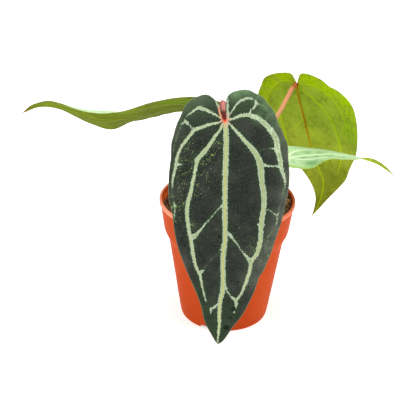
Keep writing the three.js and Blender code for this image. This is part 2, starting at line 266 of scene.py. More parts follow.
def weld(mesh: bpy.types.Mesh, distance: float) -> None:
    """Merges points closer than distance, in metres, and drops the faces that vanish."""
    work = bmesh.new()
    work.from_mesh(mesh)
    bmesh.ops.remove_doubles(work, verts=work.verts, dist=distance)
    bmesh.ops.dissolve_degenerate(work, edges=work.edges, dist=distance / 10)
    work.to_mesh(mesh)
    work.free()
    mesh.update()


def turn_outwards(mesh: bpy.types.Mesh) -> None:
    """Recalculates the normals of a closed mesh so that its faces point out."""
    work = bmesh.new()
    work.from_mesh(mesh)
    bmesh.ops.recalc_face_normals(work, faces=work.faces)
    work.to_mesh(mesh)
    work.free()


def settle(made: bpy.types.Object, slot: Slot, *nodes: str) -> None:
    """Lets a piece ride on the plant's one body, hides the CAD nodes that it stands for and logs their names.
    """
    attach(made, "root")
    if nodes:
        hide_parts(*nodes)
    LOG.info("%s: %d faces, stands for %s", made.name, len(made.data.polygons), ", ".join(nodes) or "no node")


# Finishes


def shade(red: float, green: float, blue: float) -> tuple[float, float, float, float]:
    """A colour given as it looks on a screen, 0 to 255, as the linear colour that a shader takes."""
    parts = [c / 255 for c in (red, green, blue)]
    linear = [c / 12.92 if c <= 0.04045 else ((c + 0.055) / 1.055) ** 2.4 for c in parts]
    return (*linear, 1.0)


class Value:
    """A number, vector or colour inside a material. Each sum, difference or product adds one node."""

    def __init__(self, paint: "Paint", socket: Socket) -> None:
        """Wraps one output of a node."""
        self.paint = paint
        self.socket = socket

    def __add__(self, other: "Value | float") -> "Value":
        """The sum of two numbers."""
        return self.paint.math("ADD", self, other)

    def __mul__(self, other: "Value | float") -> "Value":
        """The product of two numbers."""
        return self.paint.math("MULTIPLY", self, other)

    def __sub__(self, other: "Value | float") -> "Value":
        """The difference of two numbers."""
        return self.paint.math("SUBTRACT", self, other)

    def __rsub__(self, other: float) -> "Value":
        """What is left of a plain number."""
        return self.paint.math("SUBTRACT", other, self)


Layer = tuple[Value, Value | Point3]


class Paint:
    """A material under construction: short calls that add one node each and return its output."""

    def __init__(self, name: str, roughness: float, **fixed: float) -> None:
        """Starts the material.

        Args:
            name: the material's name.
            roughness: the shader's roughness.
            fixed: further values for the shader's own sockets, with spaces as underscores.
        """
        self.material = bpy.data.materials.new(name)
        self.material.use_nodes = True
        self.tree = self.material.node_tree
        self.shader = self.tree.nodes["Principled BSDF"]
        self.set_shader(Roughness=roughness, **fixed)

    def set_shader(self, **fixed: object) -> None:
        """Sets the shader's own sockets. A keyword is a socket's name with its spaces as underscores."""
        for label, value in fixed.items():
            self.shader.inputs[label.replace("_", " ")].default_value = value

    def add(
        self, kind: str, inputs: dict[str | int, object], output: str | int = 0, **options: object
    ) -> Value:
        """Adds a node.

        Args:
            kind: the node's type.
            inputs: a value to link, or a plain one to set, for each input.
            output: the output to return.
            options: the node's own properties.

        Returns:
            The chosen output.
        """
        node = self.tree.nodes.new(kind)
        for label, value in options.items():
            setattr(node, label, value)
        for key, value in inputs.items():
            if isinstance(value, Value):
                self.tree.links.new(value.socket, node.inputs[key])
            else:
                node.inputs[key].default_value = value
        return Value(self, node.outputs[output])

    def attribute(self, name: str) -> Value:
        """A number stored on the mesh."""
        return self.add("ShaderNodeAttribute", {}, "Fac", attribute_name=name)

    def surface(self, stretch: Point3 = (1.0, 1.0, 1.0)) -> Value:
        """Coordinates on the piece's own surface in millimetres, from its UV map."""
        uv = self.add("ShaderNodeUVMap", {}, uv_map="surface")
        scale = tuple(UV_SPAN * part for part in stretch)
        return self.add("ShaderNodeMapping", {"Vector": uv, "Scale": scale})

    def space(self, stretch: Point3 = (1.0, 1.0, 1.0)) -> Value:
        """Object coordinates in millimetres."""
        place = self.add("ShaderNodeTexCoord", {}, "Object")
        scale = tuple(part / MM for part in stretch)
        return self.add("ShaderNodeMapping", {"Vector": place, "Scale": scale})

    def component(self, vector: Value, axis: str) -> Value:
        """One component of a vector."""
        return self.add("ShaderNodeSeparateXYZ", {0: vector}, axis)

    def math(self, operation: str, a: Value | float, b: Value | float) -> Value:
        """A sum, product or other operation on two numbers."""
        return self.add("ShaderNodeMath", {0: a, 1: b}, operation=operation)

    def smooth(self, value: Value, low: float, high: float) -> Value:
        """0 at low to 1 at high, with soft ends. It falls where low is above high."""
        ends = {"Value": value, "From Min": low, "From Max": high}
        return self.add("ShaderNodeMapRange", ends, interpolation_type="SMOOTHSTEP")

    def noise(self, vector: Value, grain: float, detail: float = 2.0) -> Value:
        """Noise from 0 to 1 whose features are about grain millimetres wide."""
        return self.add("ShaderNodeTexNoise", {"Vector": vector, "Scale": 1 / grain, "Detail": detail}, "Fac")

    def cells(self, vector: Value, width: float, edges: bool = False) -> Value:
        """Distance in cells about width millimetres wide: from each cell's middle, or from its edges."""
        inputs, feature = {"Vector": vector, "Scale": 1 / width}, "DISTANCE_TO_EDGE" if edges else "F1"
        return self.add("ShaderNodeTexVoronoi", inputs, "Distance", feature=feature)

    def layered(self, base: Value | Point3, layers: list[Layer]) -> Value:
        """Colours laid over a base one after the other, each with its own factor.

        Args:
            base: the lowest colour.
            layers: (factor, colour) pairs. A plain colour is given as it looks on a screen.

        Returns:
            The uppermost colour.
        """
        result = base if isinstance(base, Value) else shade(*base)
        for factor, colour in layers:
            over = colour if isinstance(colour, Value) else shade(*colour)
            result = self.add("ShaderNodeMix", {0: factor, 6: result, 7: over}, 2, data_type="RGBA")
        return result

    def finish(self, colour: Value, height: Value, depth: float) -> bpy.types.Material:
        """Links the colour, and a bump from height whose full range is depth millimetres."""
        self.tree.links.new(colour.socket, self.shader.inputs["Base Color"])
        bump = self.add("ShaderNodeBump", {"Height": height, "Distance": depth * MM, "Strength": 1.0})
        self.tree.links.new(bump.socket, self.shader.inputs["Normal"])
        return self.material


@dataclass(frozen=True)
class VelvetFinish:
    """Upper face of a velvety leaf: dark between its veins, with pale feathered bands along them."""

    name: str
    ground: Point3
    deep: Point3
    halo: Point3
    # The lobes' own greener tint; on the dark leaf partly painted light from above.
    lobe: Point3
    green: Point3
    # Greyish on the dark leaf, where it is painted sheen; on the mint leaves a darker green.
    margin: Point3
    band: Point3
    band_edge: Point3
    pale: Point3
    core: Point3
    # Line along the margin: on the dark leaf a painted rim highlight.
    edge: Point3
    fleck: Point3
    sheen: float
    feather: float
    flush: Point3 = (226, 144, 118)
    blush: Point3 = (236, 158, 122)
    joint: Point3 = (236, 72, 52)

    def ground_colour(self, p: Paint, place: Value) -> Value:
        """Colour between the veins: mottled, greener near veins and on the lobes, greyer in soft patches of
        painted sheen.
        """
        broad, mottle = p.noise(place, 16.0), p.noise(place, 4.5, 3.0)
        grit, grain = p.noise(place, 1.5, 3.0), p.noise(place, 0.5)
        near_vein = p.smooth(p.attribute("vein") + mottle * 5.0, 6.4, 2.2)
        on_lobe = p.smooth(p.component(place, "Y") + broad * 18.0, 66.0, 30.0)
        trace = p.smooth(p.attribute("trace") + grit * 4.0, 3.0, 1.6) * 0.6
        return p.layered(
            self.ground,
            [
                (p.smooth(mottle, 0.46, 0.66) * 0.5, self.deep),
                # Random soft patches of the greyish colour: painted sheen on the dark leaf.
                (p.smooth(broad, 0.42, 0.7) * 0.16, self.margin),
                # The lobes: their own greener tint, and on the dark leaf partly painted light from above,
                # where they face up.
                (on_lobe * 0.8, self.lobe),
                # Near the veins: the dark leaf's own green halo; on the mint leaves a slightly darker tone,
                # painted crease shade.
                (near_vein * 0.62, self.halo),
                (p.attribute("verdant") * 0.85, self.halo),
                (p.attribute("green") * (mottle * 0.8 + 0.55), self.green),
                # Painted sheen on the dark leaf, where its margins and lobe tops curve away; on the young
                # leaf these patches are its own darker green.
                (p.attribute("tone") * (mottle * 0.8 + 0.5), self.margin),
                (p.smooth(grit, 0.5, 0.72) * 0.2, self.margin),
                (p.smooth(grit, 0.48, 0.3) * 0.45, self.deep),
                (p.smooth(grain, 0.5, 0.8) * 0.2, self.margin),
                (trace * p.smooth(mottle, 0.3, 0.62), self.green),
            ],
        )

    def material(self) -> bpy.types.Material:
        """Builds the material.

        The bands come from the distance to the veins' edges. Fine noise roughens it, so that they look
        feathered.
        """
        p = Paint(self.name, 0.6, Sheen_Weight=self.sheen, Sheen_Roughness=0.5, Specular_IOR_Level=0.08)
        place = p.surface()
        speckle, pale = p.attribute("speckle"), p.attribute("pale")
        fine, rag = p.noise(place, 0.85, 3.0), p.noise(place, 2.8)
        ragged = p.attribute("vein") + ((fine - 0.5) * self.feather + (rag - 0.5) * (0.5 * self.feather))
        band = p.smooth(ragged, 0.3, -0.3)
        banded = p.layered(
            self.band,
            [
                (p.smooth(p.noise(place, 1.7, 3.0), 0.35, 0.7) * 0.2, self.core),
                (p.smooth(ragged, -1.15, -0.35) * 0.85, self.band_edge),
                (p.smooth(speckle, 1.45, 1.65) * 0.5, self.fleck),
                (pale * p.smooth(rag, 0.4, 0.62), self.pale),
            ],
        )
        core = p.smooth(p.attribute("core") + fine * 0.5, 1.15, 0.5)
        core = core * p.smooth(ragged, -0.2, -0.9) * (1.0 - pale)
        clusters = p.smooth(p.noise(place, 5.5), 0.62, 0.42) * 0.16
        dots = p.cells(place, 1.3) + p.noise(place, 2.6, 1.0) * 0.5 - speckle * 0.12 + clusters
        dots = p.smooth(dots, 0.49, 0.36) * p.smooth(speckle, 0.04, 0.4)
        colour = p.layered(
            self.ground_colour(p, place),
            [
                (dots * 0.85, self.fleck),
                (band, banded),
                (core * 0.8, self.core),
                (p.attribute("spot"), self.deep),
                # Along the margin: on the dark leaf a painted rim highlight, on the other faces their own
                # edge colour.
                (p.smooth(p.attribute("rim"), 0.9, 0.3) * 0.3, self.edge),
                (p.attribute("flush") * (band * 0.55), self.flush),
                (p.attribute("blush"), self.blush),
                (p.attribute("joint"), self.joint),
            ],
        )
        return p.finish(colour, p.noise(place, 0.6) * 0.5 + band * 0.3, 0.22)


@dataclass(frozen=True)
class UndersideFinish:
    """Lower face of a leaf: olive, with a fine dark net between raised veins, painted lime light in places
    and painted shadow in others.
    """

    name: str
    ground: Point3
    shadow: Point3
    # Lime painted light, for light shining through the leaf.
    painted_glow: Point3
    vein: Point3
    midrib: Point3
    net: Point3
    edge: Point3
    tip: Point3
    joint: Point3 = (176, 74, 30)

    def material(self) -> bpy.types.Material:
        """Builds the material. The net is the edges of bent cells, broken up by noise."""
        p = Paint(self.name, 0.6, Specular_IOR_Level=0.01)
        place = p.surface()
        broad, mottle, fine = p.noise(place, 17.0), p.noise(place, 5.0, 3.0), p.noise(place, 1.3, 3.0)
        bend = p.add("ShaderNodeTexNoise", {"Vector": place, "Scale": 0.1, "Detail": 2.0}, "Color")
        bent = p.add("ShaderNodeVectorMath", {0: bend, 1: (9.0, 9.0, 0.0)}, operation="MULTIPLY")
        bent = p.add("ShaderNodeVectorMath", {0: place, 1: bent}, operation="ADD")
        net = p.smooth(p.cells(bent, 8.0, edges=True), 0.07, 0.01) * p.smooth(broad, 0.35, 0.6)
        colour = p.layered(
            self.ground,
            [
                (p.smooth(broad, 0.36, 0.7) * 0.6, self.shadow),
                # Painted light in lime, where the lower face's patches lie.
                (p.smooth(p.attribute("tone") + (mottle - 0.5) * 0.8, 0.15, 0.9), self.painted_glow),
                (p.smooth(fine, 0.45, 0.7) * 0.3, self.shadow),
                # Painted shadow, in the net's dark colour.
                (p.attribute("painted_shadow") * (mottle + 0.5), self.net),
                (p.smooth(p.cells(bent, 3.4, edges=True), 0.1, 0.02) * 0.22, self.net),
                (net * 0.5, self.net),
                (p.smooth(p.attribute("vein"), 0.7, -0.4) * 0.85, self.vein),
                (p.attribute("midrib"), self.midrib),
                (p.attribute("tip"), self.tip),
                (p.smooth(p.attribute("rim"), 0.7, 0.2) * 0.45, self.edge),
                (p.attribute("joint"), self.joint),
            ],
        )
        return p.finish(colour, net * -0.6 + fine * 0.35, 0.2)


@dataclass(frozen=True)
class PetioleFinish:
    """Smooth, waxy stalk that runs from a brownish foot to a salmon top, with painted shade down one side."""

    name: str
    foot: Point3
    middle: Point3
    top: Point3
    # Red-brown: painted shade down one side, and random streaks.
    flush: Point3
    # Colour of the top end; on the front stalk a painted shadow in the hollow above the blade.
    end: Point3
    end_from: float = 0.97

    def material(self) -> bpy.types.Material:
        """Builds the material from the share along the stalk, stored on the mesh."""
        p = Paint(self.name, 0.42, Specular_IOR_Level=0.25, Coat_Weight=0.04)
        along = p.attribute("along")
        streak = p.noise(p.surface((1.0, 0.12, 1.0)), 0.8, 3.0)
        mottle = p.noise(p.surface(), 3.0)
        colour = p.layered(
            self.foot,
            [
                (p.smooth(along + mottle * 0.12, 0.08, 0.5), self.middle),
                (p.smooth(along + mottle * 0.1, 0.6, 0.92), self.top),
                # Painted shade down one side of the stalk.
                (p.smooth(p.attribute("side"), 0.25, 0.9) * 0.6, self.flush),
                (p.smooth(streak, 0.5, 0.8) * 0.35, self.flush),
                # The top end: painted shadow on the front stalk.
                (p.smooth(along, self.end_from - 0.03, self.end_from), self.end),
            ],
        )
        return p.finish(colour, streak, 0.1)


@dataclass(frozen=True)
class PotFinish:
    """Moulded plastic of the pot: a painted highlight makes its lip lighter, painted light brightens its
    inner wall, and its foot is scuffed.
    """

    body: Point3 = (182, 68, 26)
    pale: Point3 = (196, 82, 38)
    deep: Point3 = (168, 56, 16)
    # Pale salmon: a painted highlight on the lip, and also the paler foot edge.
    lip: Point3 = (250, 154, 124)
    # Brighter orange: painted light on the inner wall, for light through the thin plastic.
    inner: Point3 = (236, 110, 52)
    scuff: Point3 = (246, 190, 166)
    band_radius: float = 43.5
    band_slope: float = 0.138

    def material(self) -> bpy.types.Material:
        """Builds the material from soft flow marks, a fine grain and the height above the floor.

        The painted light of the inner wall starts about 0.8 mm within the band's outer radius, which is
        band_radius plus band_slope times the height.
        """
        p = Paint("pot_plastic", 0.5, Specular_IOR_Level=0.015, Subsurface_Weight=0.4, Subsurface_Scale=0.004)
        place = p.space()
        height, reach = p.component(place, "Z"), p.attribute("radius")
        flow = p.noise(p.space((1.0, 1.0, 0.25)), 26.0)
        cloud, grain = p.noise(place, 9.0, 3.0), p.noise(place, 0.7)
        scuff = p.smooth(p.noise(place, 1.4), 0.66, 0.74) * p.smooth(height, 9.0, 0.5)
        # Painted highlight on the lip, stronger on the -X side, where the light falls.
        lit_side_highlight = p.smooth(p.component(place, "X"), 20.0, -30.0) * 0.4 + 0.55
        lip = p.smooth(height, 110.9, 112.2) * p.smooth(reach, 57.4, 58.2)
        # Painted light on the inner wall between the soil and the lip.
        inside = p.smooth(height * self.band_slope + self.band_radius - reach, 0.6, 1.0)
        inside = inside * p.smooth(height, 112.5, 111.0) * p.smooth(height, 84.0, 90.0)
        colour = p.layered(
            self.body,
            [
                (p.smooth(flow, 0.4, 0.75) * 0.35, self.pale),
                (p.smooth(cloud, 0.5, 0.8) * 0.3, self.deep),
                (p.smooth(grain, 0.55, 0.8) * 0.12, self.pale),
                # The painted light of the inner wall.
                (inside * p.smooth(cloud, 0.75, 0.3), self.inner),
                # The painted lip highlight.
                (lip * lit_side_highlight, self.lip),
                (p.smooth(height, 1.6, 0.3) * 0.45, self.lip),
                (scuff * 0.6, self.scuff),
            ],
        )
        return p.finish(colour, grain + cloud * 0.6, 0.06)


@dataclass(frozen=True)
class GrainFinish:
    """Rough matter of the potting mix or the crown: three tones, dark to light, in small patches."""

    name: str
    dark: Point3
    middle: Point3
    light: Point3
    grain: float
    depth: float
    fibre: float = 1.0

    def material(self) -> bpy.types.Material:
        """Builds the material. Fibre stretches the patches along Z."""
        p = Paint(self.name, 0.9, Specular_IOR_Level=0.2)
        place = p.space((1.0, 1.0, self.fibre))
        rough, fine = p.noise(place, self.grain * 2.5, 4.0), p.noise(place, self.grain, 3.0)
        piece = p.attribute("piece")
        colour = p.layered(
            self.middle,
            [
                (p.smooth(rough, 0.44, 0.62), self.dark),
                (p.smooth(fine, 0.55, 0.72) * 0.6, self.light),
                (p.smooth(piece, 0.55, 1.0) * 0.7, self.light),
                (p.smooth(piece, 0.45, 0.0) * 0.7, self.dark),
            ],
        )
        return p.finish(colour, rough + fine, self.depth)


# Leaves


@dataclass(frozen=True)
class Ripple:
    """Waves of a blade's margins: heights on the two halves, waves along the blade and their phase."""

    left: float = 0.0
    right: float = 0.0
    count: float = 1.0
    phase: float = 0.0


@dataclass(frozen=True)
class Lift:
    """Fine shape of one half at even stations: heights of its margin, and of a crest inside it."""

    margin: tuple[float, ...] = (0.0, 0.0)
    crest: tuple[float, ...] = (0.0, 0.0)


@dataclass(frozen=True)
class BladeForm:
    """Shape of one blade: a midrib with turning directions, a bent cross-section and two half outlines."""

    base: Point3
    length: float
    heading: tuple[float, ...]
    pitch: tuple[float, ...]
    roll: tuple[float, ...]
    curl: tuple[float, ...]
    left: tuple[Point2, ...]
    right: tuple[Point2, ...]
    bow: tuple[float, ...] = (0.0, 0.0)
    ripple: Ripple = Ripple()
    lift_left: Lift = Lift()
    lift_right: Lift = Lift()

    def frames(self, s: Array) -> tuple[Array, Array, Array]:
        """Forward, sideways and upward directions at stations s.

        Forward follows heading and pitch. Sideways is level and square to it, turned about it by roll, and
        upward is their cross product.
        """
        t = s / self.length
        heading, pitch, roll = (np.radians(value_along(a, t)) for a in (self.heading, self.pitch, self.roll))
        run = np.cos(pitch)
        forward = np.stack([run * np.cos(heading), run * np.sin(heading), np.sin(pitch)], -1)
        level = np.stack([np.sin(heading), -np.cos(heading), 0 * heading], -1)
        over = np.cross(level, forward)
        side = level * np.cos(roll)[..., None] + over * np.sin(roll)[..., None]
        return forward, side, np.cross(side, forward)

    def midrib(self, s: Array) -> Array:
        """Points of the midrib at stations s: the running sum of the forward direction from the base."""
        step = 0.5
        known = np.arange(-60.0, self.length + 12.0, step)
        forward = self.frames(known + step / 2)[0]
        line = np.concatenate([[np.zeros(3)], np.cumsum(forward * step, axis=0)])[:-1]
        start = np.array([np.interp(0.0, known, line[:, k]) for k in range(3)])
        points = np.stack([np.interp(s, known, line[:, k] - start[k]) for k in range(3)], -1)
        return points + np.array(self.base)

    def surface(self, s: Array, v: Array) -> Array:
        """Points of the middle surface at stations s and distances v, positive to the right.

        Across the blade the surface is an arc: sin(kv) / k sideways and (1 - cos(kv)) / k down, with k from
        curl, plus a wave that grows with the square of the share of the half width.
        """
        t = s / self.length
        _, side, up = self.frames(s)
        bend = np.radians(value_along(self.curl, t)) / 50
        bend = np.where(np.abs(bend) < 1e-6, 1e-6, bend)
        across, drop = np.sin(bend * v) / bend, (1 - np.cos(bend * v)) / bend
        reach = max(width for _, width in self.left + self.right)
        height = np.where(v < 0, self.ripple.left, self.ripple.right)
        wave = height * (v / reach) ** 2 * np.sin(2 * np.pi * self.ripple.count * t + self.ripple.phase)
        return self.midrib(s) + side * across[..., None] + up * (wave - drop)[..., None]

    def normals(self, s: Array, v: Array) -> Array:
        """Outward directions of the upper face: the cross product of the surface's two slopes."""
        h = 0.5
        along = self.surface(s + h, v) - self.surface(s - h, v)
        across = self.surface(s, v + h) - self.surface(s, v - h)
        return unit(np.cross(across, along))

    def outline(self, half: Half) -> tuple[Point2, ...]:
        """The half outline on one side."""
        return self.left if half is Half.LEFT else self.right

    def lift(self, half: Half, s: Array, share: Array) -> Array:
        """Extra height at stations s and shares u from the midrib to the margin.

        The margin's height grows with u^2, and the crest's with 4 u^2 (1 - u^2), which is highest at 0.7.
        """
        fine = self.lift_left if half is Half.LEFT else self.lift_right
        t, u2 = s / self.length, share**2
        return value_along(fine.margin, t) * u2 + value_along(fine.crest, t) * 4 * u2 * (1 - u2)

    def half_grid(self, half: Half, rows: int, rings: int, fan: float) -> tuple[Array, Array]:
        """Stations and distances of a grid over one half, from the midrib (ring 0) to the margin.

        A row runs straight from the midrib to an evenly spaced point of the margin. The first rows, a share
        fan of them, fan out of the base over the back lobe, and the others start further and further along.
        """
        margin = evenly_spaced(self.outline(half), rows)
        share = np.maximum(0.0, (np.arange(rows + 1) / rows - fan) / (1 - fan))
        start = self.length * share**1.1
        ring = np.linspace(0, 1, rings + 1)
        s = start[:, None] + (margin[:, 0] - start)[:, None] * ring
        v = value_along(self.bow, s / self.length) + half.value * margin[:, 1][:, None] * ring
        return s, v


@dataclass(frozen=True)
class Vein:
    """One vein: (station, distance) points, half widths at even steps, and its core line's strength."""

    points: tuple[Point2, ...]
    widths: tuple[float, ...]
    core: float = 0.0


@dataclass(frozen=True)
class Patch:
    """A soft round patch on a blade: its station, distance, radius and strength."""

    s: float
    v: float
    radius: float
    strength: float = 1.0


def two_faced(half: Half, shape: tuple[int, int], top: Skin, bottom: Skin) -> list[Skin]:
    """One half of a thin blade: its upper face, its lower face and the rim between their margins.

    Args:
        half: which half it is.
        shape: rows and columns of the grid of points; the margin is its last column.
        top: points of the upper face and what goes with them, with no faces yet.
        bottom: the same for the lower face. The rim takes its readings.

    Returns:
        The three skins, with their faces outwards.
    """
    rows, columns = shape
    edge = np.arange(rows) * columns + columns - 1
    quads, wall = grid_faces(rows, columns), grid_faces(2, rows)
    if half is Half.LEFT:
        quads, wall = quads[:, ::-1], wall[:, ::-1]
    top.faces, bottom.faces = quads, quads[:, ::-1]
    uv = None if bottom.uv is None else np.concatenate([bottom.uv[edge]] * 2)
    values = {name: np.concatenate([numbers[edge]] * 2) for name, numbers in bottom.values.items()}
    return [top, bottom, Skin(np.concatenate([top.points[edge], bottom.points[edge]]), wall, uv, values)]


def nearest_on_lines(places: Array, lines: list[Array], values: list[Array]) -> tuple[Array, Array]:
    """Distance to the nearest of several polylines, and a value carried along them at that place.

    Each line is cut into straight segments; a place's distance to a segment is that to its nearest point.

    Args:
        places: (station, distance) rows.
        lines: the polylines.
        values: a number for each point of each line, subtracted from the distance.

    Returns:
        The least distance minus its value, and the least bare distance, both at most FAR.
    """
    band, bare = np.full(len(places), FAR), np.full(len(places), FAR)
    for line, value in zip(lines, values):
        low, high = line.min(0) - FAR, line.max(0) + FAR
        near = np.flatnonzero(np.all((places > low) & (places < high), axis=1))
        if not len(near):
            continue
        start, step = line[:-1], np.diff(line, axis=0)
        length2 = np.maximum((step**2).sum(1), 1e-9)
        for chunk in np.array_split(near, len(near) * len(step) // CHUNK + 1):
            gap = places[chunk][:, None, :] - start
            share = np.clip((gap * step).sum(2) / length2, 0, 1)
            distance = np.linalg.norm(gap - share[..., None] * step, axis=2)
            width = value[:-1] + share * np.diff(value)
            band[chunk] = np.minimum(band[chunk], (distance - width).min(1))
            bare[chunk] = np.minimum(bare[chunk], distance.min(1))
    return band, bare


def patches_at(places: Array, patches: tuple[Patch, ...]) -> Array:
    """Strengths of soft patches: the largest of strength * exp(-(distance / radius)^2)."""
    total = np.zeros(len(places))
    for patch in patches:
        gap2 = ((places - (patch.s, patch.v)) ** 2).sum(1)
        total = np.maximum(total, patch.strength * np.exp(-gap2 / patch.radius**2))
    return total


def distance_to(places: Array, lines: list[Array]) -> Array:
    """Distance from each place to the nearest of several polylines, at most FAR."""
    return nearest_on_lines(places, lines, [np.zeros(len(line)) for line in lines])[1]


@dataclass(frozen=True)
class Relief:
    """Relief of a blade's faces: each pair is a height, and the distance over which it dies away.

    thin is the margin's thickness as a share of the blade's, and rounding the width over which it thickens.
    Relief starts at the margin and is full at the distance inland.
    """

    thin: float = 0.3
    rounding: float = 1.4
    inland: float = 4.0
    puff_reach: float = 4.5
    ridge: Point2 = (0.12, 0.8)
    rib: Point2 = (0.5, 0.9)
    swell: Point2 = (0.22, 0.8)


@dataclass(frozen=True)
class Blade:
    """A leaf blade with its veins and patches.

    blush is how far the red of the base reaches along the left and the right lobe. joint, flush, midrib and
    blush_rim are distances in millimetres: where that colour starts, and where it is full.
    """

    name: str
    form: BladeForm
    veins: tuple[Vein, ...]
    slot: Slot
    # Upper-face patches: painted sheen on the dark leaf, its own darker green on the young leaf.
    tone: tuple[Patch, ...] = ()
    speckle: tuple[Patch, ...] = ()
    spots: tuple[Patch, ...] = ()
    green: tuple[Patch, ...] = ()
    verdant: tuple[Patch, ...] = ()
    pale: tuple[Patch, ...] = ()
    # Patches of painted light on the lower face.
    lower_painted_light: tuple[Patch, ...] = ()
    # Patches of painted shadow on the lower face.
    painted_shadow: tuple[Patch, ...] = ()
    traces: tuple[tuple[Point2, ...], ...] = ()
    quilt: float = 0.6
    rows: int = 190
    rings: int = 64
    fan: float = 0.31
    half_thickness: float = 0.4
    relief: Relief = Relief()
    blush: Point2 = (0.0, 0.0)
    blush_rim: Point2 = (0.8, 0.3)
    joint: Point2 = (2.3, 1.1)
    flush: Point2 = (8.0, 1.5)
    midrib: Point2 = (1.4, 0.7)
    tip_share: float = 0.93

    def readings(self, places: Array) -> dict[str, Array]:
        """What the finishes read at each place: distances to veins, core lines and margin, and patches."""
        lines = [evenly_spaced(v.points, max(6, 5 * (len(v.points) - 1)), 300) for v in self.veins]
        widths = [value_along(v.widths, np.linspace(0, 1, len(line))) for v, line in zip(self.veins, lines)]
        vein, _ = nearest_on_lines(places, lines, widths)
        core = np.full(len(places), FAR)
        for line, strength in [(line, v.core) for v, line in zip(self.veins, lines) if v.core > 0]:
            core = np.minimum(core, distance_to(places, [line]) / strength)
        traces = [evenly_spaced(points, 12, 100) for points in self.traces]
        outlines = [evenly_spaced(self.form.outline(h), 200) * (1, h.value) for h in Half]
        for outline in outlines:
            outline[:, 1] += value_along(self.form.bow, outline[:, 0] / self.form.length)
        rim = distance_to(places, outlines)
        s, v = places.T
        share = s / self.form.length
        from_base = np.linalg.norm(places - (0.0, float(self.form.bow[0])), axis=1)
        reach = np.where(v < 0, *self.blush)
        sinus = smooth_step(np.abs(v), 8.0, 5.0) * smooth_step(s, -reach - 0.1, -0.6 * reach) * (reach > 0)
        return {
            "vein": vein,
            "core": core,
            "rim": rim,
            "trace": distance_to(places, traces),
            **{name: patches_at(places, getattr(self, name)) for name in PATCHED},
            "spot": smooth_step(patches_at(places, self.spots), 0.3, 0.5),
            "joint": smooth_step(from_base, *self.joint),
            "flush": smooth_step(from_base, *self.flush) * (reach > 0),
            "blush": sinus * smooth_step(rim, *self.blush_rim) * smooth_step(s, 1.0, -0.5),
            "midrib": smooth_step(distance_to(places, lines[:1]), *self.midrib)
            * smooth_step(share, 0.7, 0.3),
            "tip": smooth_step(share, self.tip_share, 1.0),
        }

    def build(self, upper: bpy.types.Material, lower: bpy.types.Material) -> None:
        """Builds the closed blade: two faces alike over each half, drawn together at a thin rounded margin.

        The blade puffs up between its veins by quilt times 1 - exp(-d / puff_reach), with d the distance to a
        vein's edge. Each core line is a ridge of the form exp(-(d / width)^2) on both faces, higher below.

        Args:
            upper: material of the upper face.
            lower: material of the lower face and margin.
        """
        form, shape, skins = self.form, self.relief, []
        for half in Half:
            s, v = form.half_grid(half, self.rows, self.rings, self.fan)
            places = np.stack([s.ravel(), v.ravel()], -1)
            above = self.readings(places)
            # The lower face reads its own patches of painted light.
            below = above | {"tone": above.pop("lower_painted_light")}
            vein, core, rim = np.maximum(above["vein"], 0), above["core"], above["rim"]
            share = np.tile(np.linspace(0, 1, self.rings + 1), self.rows + 1)
            middle, normal = form.surface(*places.T), form.normals(*places.T)
            middle = middle + normal * form.lift(half, places[:, 0], share)[:, None]
            inland = smooth_step(rim, 0.0, shape.inland)
            round_share = np.sqrt(np.clip(rim / shape.rounding, 0, 1))
            thin = self.half_thickness * (shape.thin + (1 - shape.thin) * round_share)
            puff = self.quilt * (1 - np.exp(-vein / shape.puff_reach)) * inland
            ridge, rib, swell = (
                height * np.exp(-((distance / width) ** 2)) * inland
                for distance, (height, width) in ((core, shape.ridge), (core, shape.rib), (vein, shape.swell))
            )
            uv = np.stack([0.5 + places[:, 1] / UV_SPAN, (places[:, 0] + UV_START) / UV_SPAN], -1)
            top = Skin(middle + normal * (thin + puff + ridge)[:, None], None, uv, above)
            bottom = Skin(middle - normal * (thin + rib + swell - puff)[:, None], None, uv, below)
            skins += two_faced(half, s.shape, top, bottom)
        for index, skin in enumerate(skins):
            skin.material_index = np.full(len(skin.faces), 0 if index % 3 == 0 else 1)
        made = piece_from(f"leaf_{self.name}", join_skins(skins), [upper, lower])
        settle(made, self.slot, f"blade_{self.name}")


